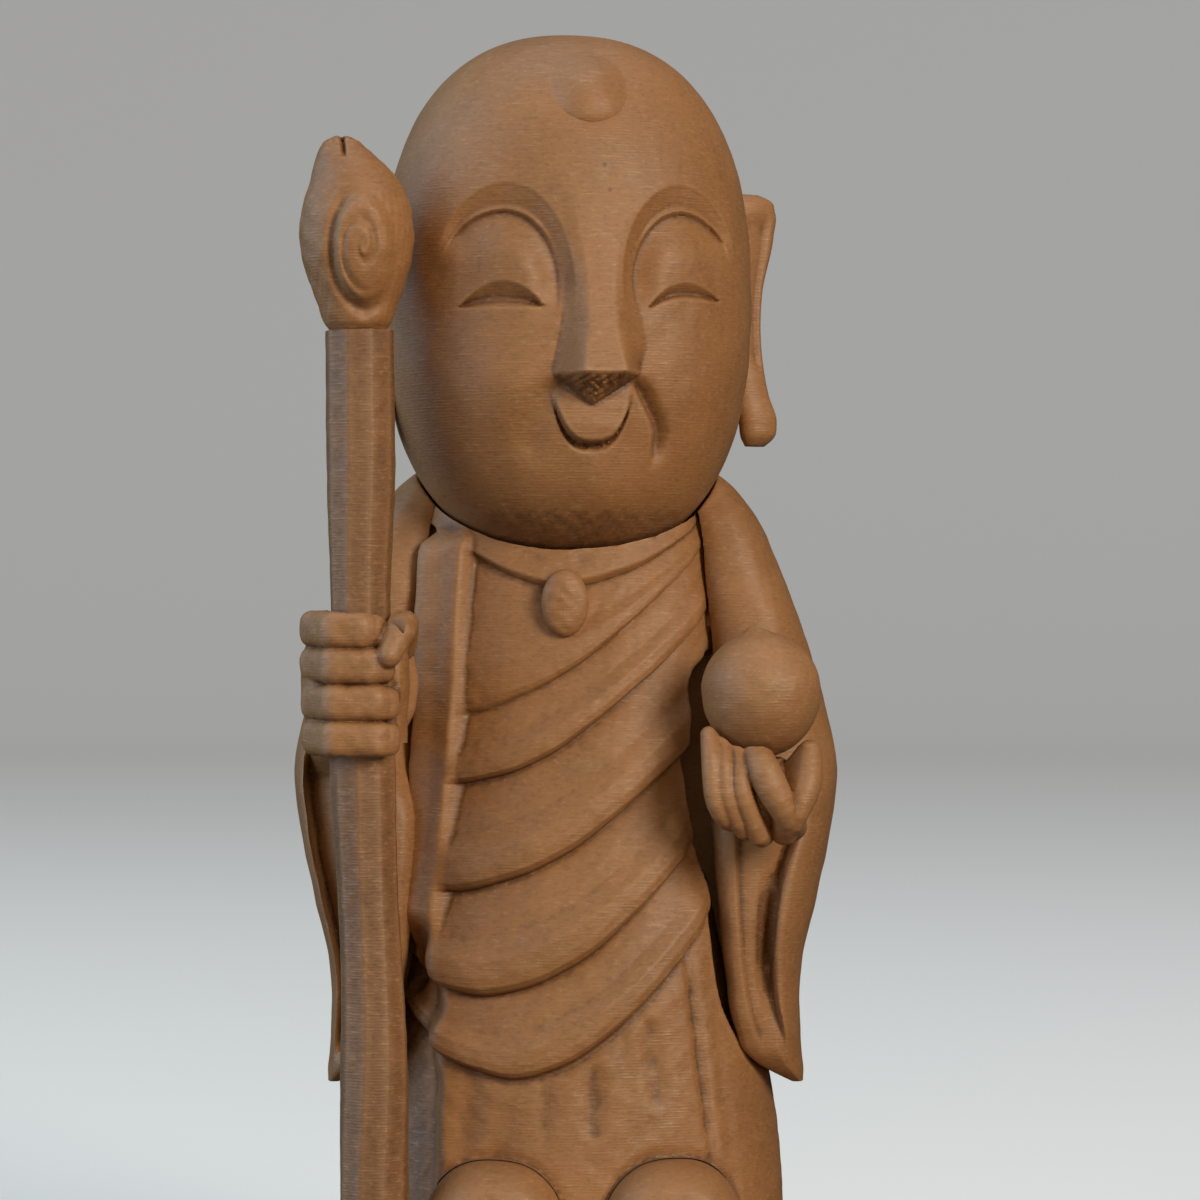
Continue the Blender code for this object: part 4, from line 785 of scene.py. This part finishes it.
# Hands: distance fields of joined limbs, met by rays that run inwards
def limb(points, rows, box=2.0, k=0.001):
    # limbs along a chain: distance to each segment less its radius, joined smoothly over k. A box power over 2
    # flattens the section, with the upright part of the distance taken apart from the level part
    rows = np.asarray(rows, float)
    if len(rows) > 2 and box == 2.0:      # a plain chain bends evenly through its points
        knots = np.linspace(0, len(rows) - 1, 2 * len(rows) - 1)
        rows = np.stack(through(np.column_stack([np.arange(len(rows)), rows]), knots), -1)
    found = None
    for a, b in zip(rows, rows[1:]):
        along = b[:3] - a[:3]
        t = np.clip((points - a[:3]) @ along / (along @ along), 0, 1)
        off = points - a[:3] - t[..., None] * along
        level = np.hypot(off[..., 0], off[..., 1])
        far = (level ** box + np.abs(off[..., 2]) ** box) ** (1 / box) - (a[3] + t * (b[3] - a[3]))
        found = far if found is None else join(found, far, k)
    return found


def join(a, b, k):
    # smooth minimum: the lesser of two distances, rounded where they differ by less than k
    h = np.clip(0.5 + 0.5 * (b - a) / k, 0, 1)
    return b + (a - b) * h - k * h * (1 - h)


def oval(points, centre, radii):
    # near distance to an ellipsoid: k (k - 1) / |gradient|
    p = (points - np.array(centre)) / radii
    k = np.linalg.norm(p, axis=-1)
    return k * (k - 1) / np.maximum(np.linalg.norm(p / radii, axis=-1), 1e-6)


def march(start, inwards, field, reach, steps=40):
    # each ray steps inwards by the distance to the form until it meets it or has gone the whole reach
    gone = np.zeros(start.shape[:-1])
    for _ in range(steps):
        gone = np.minimum(gone + 0.85 * np.maximum(field(start + gone[..., None] * inwards), 0.0), reach)
    return gone


fist = {
    "bore": 2.52, "rows": 200, "columns": 320, "start": 12.0, "span": 6.5, "radius": 1.24, "box": 2.9,
    "knuckle": 0.1,
    # level of each finger and how far its tip comes round the staff
    "fingers": ((3.72, 0.85), (1.36, 1.35), (-1.1, 1.65), (-3.5, 1.65)),
    # ovals: middle and half-sizes; chains: points with their radius
    "back": ((-2.6, 0.8, -0.1), (1.7, 2.9, 4.6)), "root": ((0.2, 2.7, 0.0), (3.3, 1.5, 4.4)),
    "heel": ((2.2, -0.2, 0.4), (0.85, 2.0, 3.4)), "wrist": ((0.0, 2.4, -1.4, 2.2), (0.4, 8.4, -3.6, 2.2)),
    "thumb": ((2.5, 1.4, 2.6, 1.0), (2.75, -0.8, 4.0, 1.0), (2.55, -2.6, 3.5, 1.0), (1.85, -3.65, 2.0, 0.8))}


def fistField(p):
    # back and root of the hand, wrist, four square-sided fingers, heel, a ring round the bore and the thumb
    hand = join(oval(p, *fist["back"]), oval(p, *fist["root"]), 0.6)
    hand = join(hand, limb(p, fist["wrist"]), 0.8)
    r = fist["radius"]
    for level, reach in fist["fingers"]:
        finger = ((-3.05, 1.8, level + 0.15, r), (-3.0, -0.5, level + 0.1, r), (-1.62, -2.95, level, r),
                  (reach - 0.9, -3.05, level - 0.05, r * 0.98), (reach - 0.3, -2.75, level - 0.1, r * 0.90))
        hand = join(hand, limb(p, finger, fist["box"], fist["knuckle"]), 0.12)
    ring = np.maximum(np.hypot(p[..., 0], p[..., 1]) - fist["bore"] - 0.3, np.abs(p[..., 2] + 0.35) - 3.6)
    hand = join(join(hand, oval(p, *fist["heel"]), 0.3), ring, 0.1)
    hand = join(hand, limb(p, fist["thumb"]), 0.25)
    return hand + 0.05 * grain(p[..., 0], p[..., 1], p[..., 2], 1.1)


def carveFist():
    # outer surface met by level rays towards the staff, closed by the bore; rows end where the hand does
    turns = np.linspace(0, 2 * math.pi, fist["columns"], False)
    spots = np.linspace(-fist["span"], fist["span"], 261)[:, None]
    out = np.stack(np.broadcast_arrays(np.sin(turns), -np.cos(turns), 0.0), -1)
    inside = fistField(out * (fist["bore"] + 0.05) + np.array((0, 0, 1.0)) * spots[..., None]) < 0
    low, high = np.where(inside, spots, 9.0).min(0), np.where(inside, spots, -9.0).max(0)
    for _ in range(6):
        low, high = (np.roll(v, 1) * 0.25 + v * 0.5 + np.roll(v, -1) * 0.25 for v in (low, high))
    share = 0.5 - 0.5 * np.cos(np.linspace(0, math.pi, fist["rows"]))[:, None]
    share = 0.35 * share + 0.65 * np.linspace(0, 1, fist["rows"])[:, None]
    z = low + (high - low) * share
    out = np.broadcast_to(out, z.shape + (3,))
    axis = np.stack([0 * z, 0 * z, z], -1)
    gone = march(out * fist["start"] + axis, -out, fistField, fist["start"] - fist["bore"] - 0.02)
    outer = out * (fist["start"] - gone)[..., None] + axis
    bore = (out * fist["bore"] + axis)[::-1]
    rows = np.vstack([outer, bore[::6]])
    return onStaff(rows[..., 0], rows[..., 1], rows[..., 2])


addPiece("fistRight", carveFist(), "figure", ("right_hand",), ring=True)

jewel = {"x": 13.2, "y": -12.2, "h": 37.3, "radius": 4.0, "drop": 4.45, "rows": 150, "columns": 160}
palm = {
    "low": -6.9, "rows": 200, "columns": 260, "start": 11.0, "core": 0.6, "gap": 0.3, "hole": 1.0,
    "holeFloor": -6.1, "cup": ((0.1, 0.4, -7.1), (3.0, 2.8, 2.9)),
    "wrist": ((0.2, 1.0, -7.0, 2.2), (0.5, 6.0, -6.6, 2.2)),
    # slim fingers: place across, height of the tip, height of the root, radius
    "fingers": ((-3.45, -2.9, -8.7, 0.64), (-2.55, -3.5, -9.2, 0.66), (-1.55, -3.9, -9.6, 0.7)),
    "forefinger": (
        (-0.35, -2.0, -4.3, 1.05), (0.15, -3.0, -5.5, 1.15), (1.0, -3.1, -7.1, 1.05), (1.65, -2.6, -8.4, 0.9),
        (1.5, -1.2, -9.3, 1.0)),
    "thumb": (
        (3.15, -1.2, -4.1, 0.85), (3.0, -2.1, -5.9, 1.0), (2.55, -2.5, -7.3, 0.95), (2.0, -2.3, -8.7, 0.8),
        (2.1, 0.2, -9.1, 1.0))}


def palmField(p):
    # cupped palm and wrist, three slim fingers, a stronger forefinger and the thumb, less the seat
    # of the jewel
    hand = join(oval(p, *palm["cup"]), limb(p, palm["wrist"]), 0.6)
    for x, top, low, r in palm["fingers"]:
        finger = ((x - 0.10, -1.7, top, r * 0.9), (x, -2.75, top - 1.5, r), (x + 0.15, -3.1, -6.7, r),
                  (x + 0.60, -2.8, -8.0, r), (x + 1.3, -2.0, low, r), (x + 1.7, -0.6, low - 0.1, r))
        hand = join(hand, limb(p, finger), 0.10)
    hand = join(join(hand, limb(p, palm["forefinger"]), 0.10), limb(p, palm["thumb"]), 0.10)
    wide = jewel["radius"] + palm["gap"]
    return np.maximum(hand, -oval(p, (0, 0, 0), (wide, wide, jewel["drop"] + palm["gap"])))


def carvePalm():
    # surface met by rays towards the middle of the palm, sunk for the peg of the jewel
    tilt, angle = rings(np.linspace(-math.pi / 2, math.pi / 2, palm["rows"] + 2)[1:-1], palm["columns"])
    out = np.stack([np.cos(tilt) * np.sin(angle), -np.cos(tilt) * np.cos(angle), np.sin(tilt)], -1)
    start = np.array((0.0, 0.0, palm["low"])) + out * palm["start"]
    gone = march(start, -out, palmField, palm["start"] - palm["core"])
    p = start - gone[..., None] * out
    sink = (np.hypot(p[..., 0], p[..., 1]) < palm["hole"]) & (p[..., 2] > palm["low"])
    p[..., 2] = np.where(sink, np.minimum(p[..., 2], palm["holeFloor"]), p[..., 2])
    return onFigure(p[..., 0] + jewel["x"], p[..., 1] + jewel["y"], p[..., 2] + jewel["h"])


def carveJewel():
    # ball, a little longer below, with its top drawn out to a low uneven tip
    share, turn = rings(np.linspace(-1, 1, jewel["rows"] + 2)[1:-1], jewel["columns"])
    tilt = share * math.pi / 2
    r = jewel["radius"] * np.cos(tilt)
    top = ease(0.70, 1.0, share)
    z = np.where(share < 0, jewel["drop"], jewel["radius"]) * np.sin(tilt) + 0.35 * top ** 2
    wave = 1 + 0.014 * grain(r * np.sin(turn), r * np.cos(turn), z, 1.5) * np.cos(tilt)
    wave = wave + 0.12 * top * grain(3 * turn, 0 * r, z, 0.6)
    x, y = r * wave * np.sin(turn) - 0.5 * top, -r * wave * np.cos(turn)
    return onFigure(x + jewel["x"], y + jewel["y"], z + jewel["h"])


addPiece("palmLeft", carvePalm(), "figure", ("left_hand",))
addPiece("jewelBall", carveJewel(), "jewel", ("jewel",))


def carveFoot(side):
    # superellipse dome that fills its arch, with five toes: the front edge is scalloped and grooved
    # between them
    share, turn = rings(np.linspace(0, 1, foot["rows"]), foot["columns"])
    across, ahead = roundSection(turn, foot["section"])
    lean = np.clip((share - foot["sole"]) / (1 - foot["sole"]), 0, 1) * math.pi / 2 * 0.995
    flat = np.cos(lean) ** 0.8 * np.where(share < foot["sole"], 1 - foot["sole"] + share, 1)
    place = np.clip(across * flat * 0.5 * side + 0.5, 0, 1)
    toes = np.abs(np.sin(place ** 0.85 * foot["toes"] * math.pi)) ** 0.5
    front = ease(0.72, 0.97, ahead * flat)
    grow = 0.42 * ease(0.0, 0.3, share)
    x = (foot["width"] / 2 + grow) * flat * across
    y = -(foot["length"] / 2 + grow * (ahead < 0.3)) * flat * ahead + 0.45 * front * (1 - toes)
    h = (foot["rise"] + grow) * np.sin(lean) * (1 - 0.30 * front) - 0.5 * front * (1 - toes) * np.sin(lean)
    return onFigure(x + foot["middle"] + side * foot["spread"], y + foot["ahead"], np.maximum(h, 0))


addPiece("footRight", carveFoot(-1), "figure", ("right_foot",))
addPiece("footLeft", carveFoot(1), "figure", ("left_foot",))


# Base: petalled seat on a turned plinth
seat = {"radius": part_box("lotus_seat")[1].x / mm, "low": 3.5, "high": 8.9, "petals": 16, "columns": 640,
        "pegs": 1.35, "pegDepth": 3.1}
plinth = {
    "radius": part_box("plinth")[1].x / mm, "height": 3.2, "rows": 120, "columns": 240,
    # share of the radius, share of the height
    "profile": (
        (0.02, 0), (0.5, 0), (0.985, 0), (0.995, 0.05), (1, 0.13), (1, 0.42), (0.995, 0.47), (0.975, 0.52),
        (0.968, 0.6), (0.966, 0.72), (0.958, 0.84), (0.945, 0.93), (0.935, 0.98), (0.925, 1.0), (0.5, 1.0),
        (0.02, 1.0))}


def petal(angle, up, shift, top):
    # one row of petals: half-width falls from the foot to a pointed tip, swelling towards the middle line
    place = np.abs(np.mod(angle / (2 * math.pi) * seat["petals"] + shift, 1.0) - 0.5) * 2
    edge = np.clip(1 - (np.clip(up, 0, None) / top) ** 2.4, 0, None) ** 0.6
    inside = ease(0.0, 0.16, edge - place)
    return inside * (0.55 + 0.45 * np.clip(1 - (place / np.maximum(edge, 0.05)) ** 2, 0, 1)), place


def carveSeat():
    # turned drum whose side swells in two rows of petals, with holes for the pegs of the feet in its top
    path = np.concatenate([np.linspace(0.03, 0.9, 20), np.linspace(1, 2, 90), np.linspace(2.03, 2.97, 60)])
    s, angle = rings(path, seat["columns"])
    up = np.clip(s - 1, 0, 1)
    barrel = np.interp(up, (0, 0.1, 0.3, 0.6, 0.9, 1.0), (0.885, 0.925, 0.955, 0.965, 0.955, 0.93))
    front, place = petal(angle, up, 0.0, 0.96)
    behind, _ = petal(angle, up, 0.5, 1.02)
    rise = 1.15 * np.maximum(front, 0.55 * behind)
    rise = rise * np.interp(up, (0, 0.08, 0.5, 0.9, 1), (0.15, 0.7, 1, 0.8, 0.3))
    vein = -0.10 * hump(0, 0.06, place) * front
    radius = seat["radius"] * barrel * 0.985 + (rise + vein) * ((s >= 1) & (s <= 2))
    radius = np.minimum(radius, seat["radius"])
    radius = radius * np.where(s < 1, s, np.where(s > 2, 3 - s, 1))
    h = seat["low"] + (seat["high"] - seat["low"]) * up
    x, y = radius * np.sin(angle), -radius * np.cos(angle)
    top = s > 2.0
    for side in (-1, 1):
        far = np.hypot(x - foot["middle"] - side * foot["spread"], y - foot["peg"])
        h = np.where(top & (far < seat["pegs"]), seat["high"] - seat["pegDepth"], h)
    return np.stack([x, y, h], -1) * mm


def carvePlinth():
    # turned profile: a small bevel, an upright band, a hollow and a flat top
    rows = np.array(plinth["profile"])
    share = np.linspace(0, 1, plinth["rows"])
    radius, up = through(np.column_stack([np.linspace(0, 1, len(rows)), rows]), share)
    angle = np.linspace(0, 2 * math.pi, plinth["columns"], False)
    radius = np.clip(radius, 0.01, 1.0)[:, None] * plinth["radius"]
    h = np.clip(up, 0, 1)[:, None] * plinth["height"] + 0 * angle
    return np.stack([radius * np.sin(angle), -radius * np.cos(angle), h], -1) * mm


addPiece("lotusSeat", carveSeat(), "base", ("lotus_seat",))
addPiece("plinthTurned", carvePlinth(), "base", ("plinth",))


# Stage: pale floor, lamps at the picture's right and left, low in front and above
floor = {"reach": 1.2, "bend": 0.6, "wall": 2.2, "steps": 24, "columns": 96, "paint": {
    "Base Color": (0.66, 0.65, 0.63, 1), "Roughness": 0.9, "Emission Color": (0.62, 0.61, 0.59, 1),
    "Emission Strength": 0.45}}
# name, place, aim, size, power, colour
lamps = (("frontKey", (0.40, -0.52, 0.31), (0, 0, 0.055), 0.30, 3.4, (1.0, 0.92, 0.76)),
         ("coolFill", (-0.60, -0.12, 0.26), (0, 0, 0.055), 1.0, 4.8, (0.60, 0.82, 1.0)),
         ("warmLow", (0.05, -0.52, 0.04), (0, 0, 0.045), 0.40, 0.7, (1.0, 0.74, 0.38)),
         ("topSoft", (0.0, 0.04, 0.75), (0, 0, 0.05), 0.60, 1.6, (0.84, 0.93, 1.0)))
room = {"Color": (0.90, 0.94, 1.0, 1), "Strength": 0.05}


def addFloor():
    # flat disc that curves up into a round wall far behind, as a photographer's sweep does
    turn = np.linspace(0, math.pi / 2, floor["steps"])[1:]
    reach = np.concatenate([np.linspace(0.02, floor["reach"], floor["steps"]),
                            floor["reach"] + floor["bend"] * np.sin(turn), (floor["reach"] + floor["bend"],)])
    rise = floor["bend"] - floor["bend"] * np.cos(turn)
    rise = np.concatenate([np.zeros(floor["steps"]), rise, (floor["wall"],)])
    angle = np.linspace(0, 2 * math.pi, floor["columns"], False)
    x, y = reach[:, None] * np.sin(angle), reach[:, None] * np.cos(angle)
    grid = np.stack(np.broadcast_arrays(x, y, rise[:, None]), -1)
    index = np.arange(x.size).reshape(x.shape)
    here, above = index[:-1], index[1:]
    quads = np.stack([here, above, np.roll(above, -1, 1), np.roll(here, -1, 1)], -1).reshape(-1, 4)
    mesh = bpy.data.meshes.new("floor")
    mesh.from_pydata(grid.reshape(-1, 3).tolist(), [], quads.tolist() + [index[0].tolist()])
    mesh.shade_smooth()
    sweep = link("floor", mesh)
    paint = bpy.data.materials.new("paleFloor")
    paint.use_nodes = True
    for key, value in floor["paint"].items():
        paint.node_tree.nodes["Principled BSDF"].inputs[key].default_value = value
    mesh.materials.append(paint)
    sweep.visible_diffuse = sweep.visible_glossy = False      # no light from below


def addLight(name, place, aim, size, power, colour):
    # round lamp whose own axis is turned from straight down to the way from its place to its aim
    lamp = link(name, bpy.data.lights.new(name, "AREA"))
    lamp.data.shape, lamp.data.size = "DISK", size
    lamp.data.energy, lamp.data.color = power, colour
    lamp.location = place
    way = np.array(aim) - np.array(place)
    lamp.rotation_euler = (math.acos(-way[2] / np.linalg.norm(way)), 0, math.atan2(-way[0], way[1]))


addFloor()
for lamp in lamps:
    addLight(*lamp)
world = bpy.data.worlds.new("room")
world.use_nodes = True
for key, value in room.items():
    world.node_tree.nodes["Background"].inputs[key].default_value = value
bpy.context.scene.world = world
bpy.context.scene.view_settings.view_transform = "Standard"
print("stage: floor and %d lights" % len(lamps))
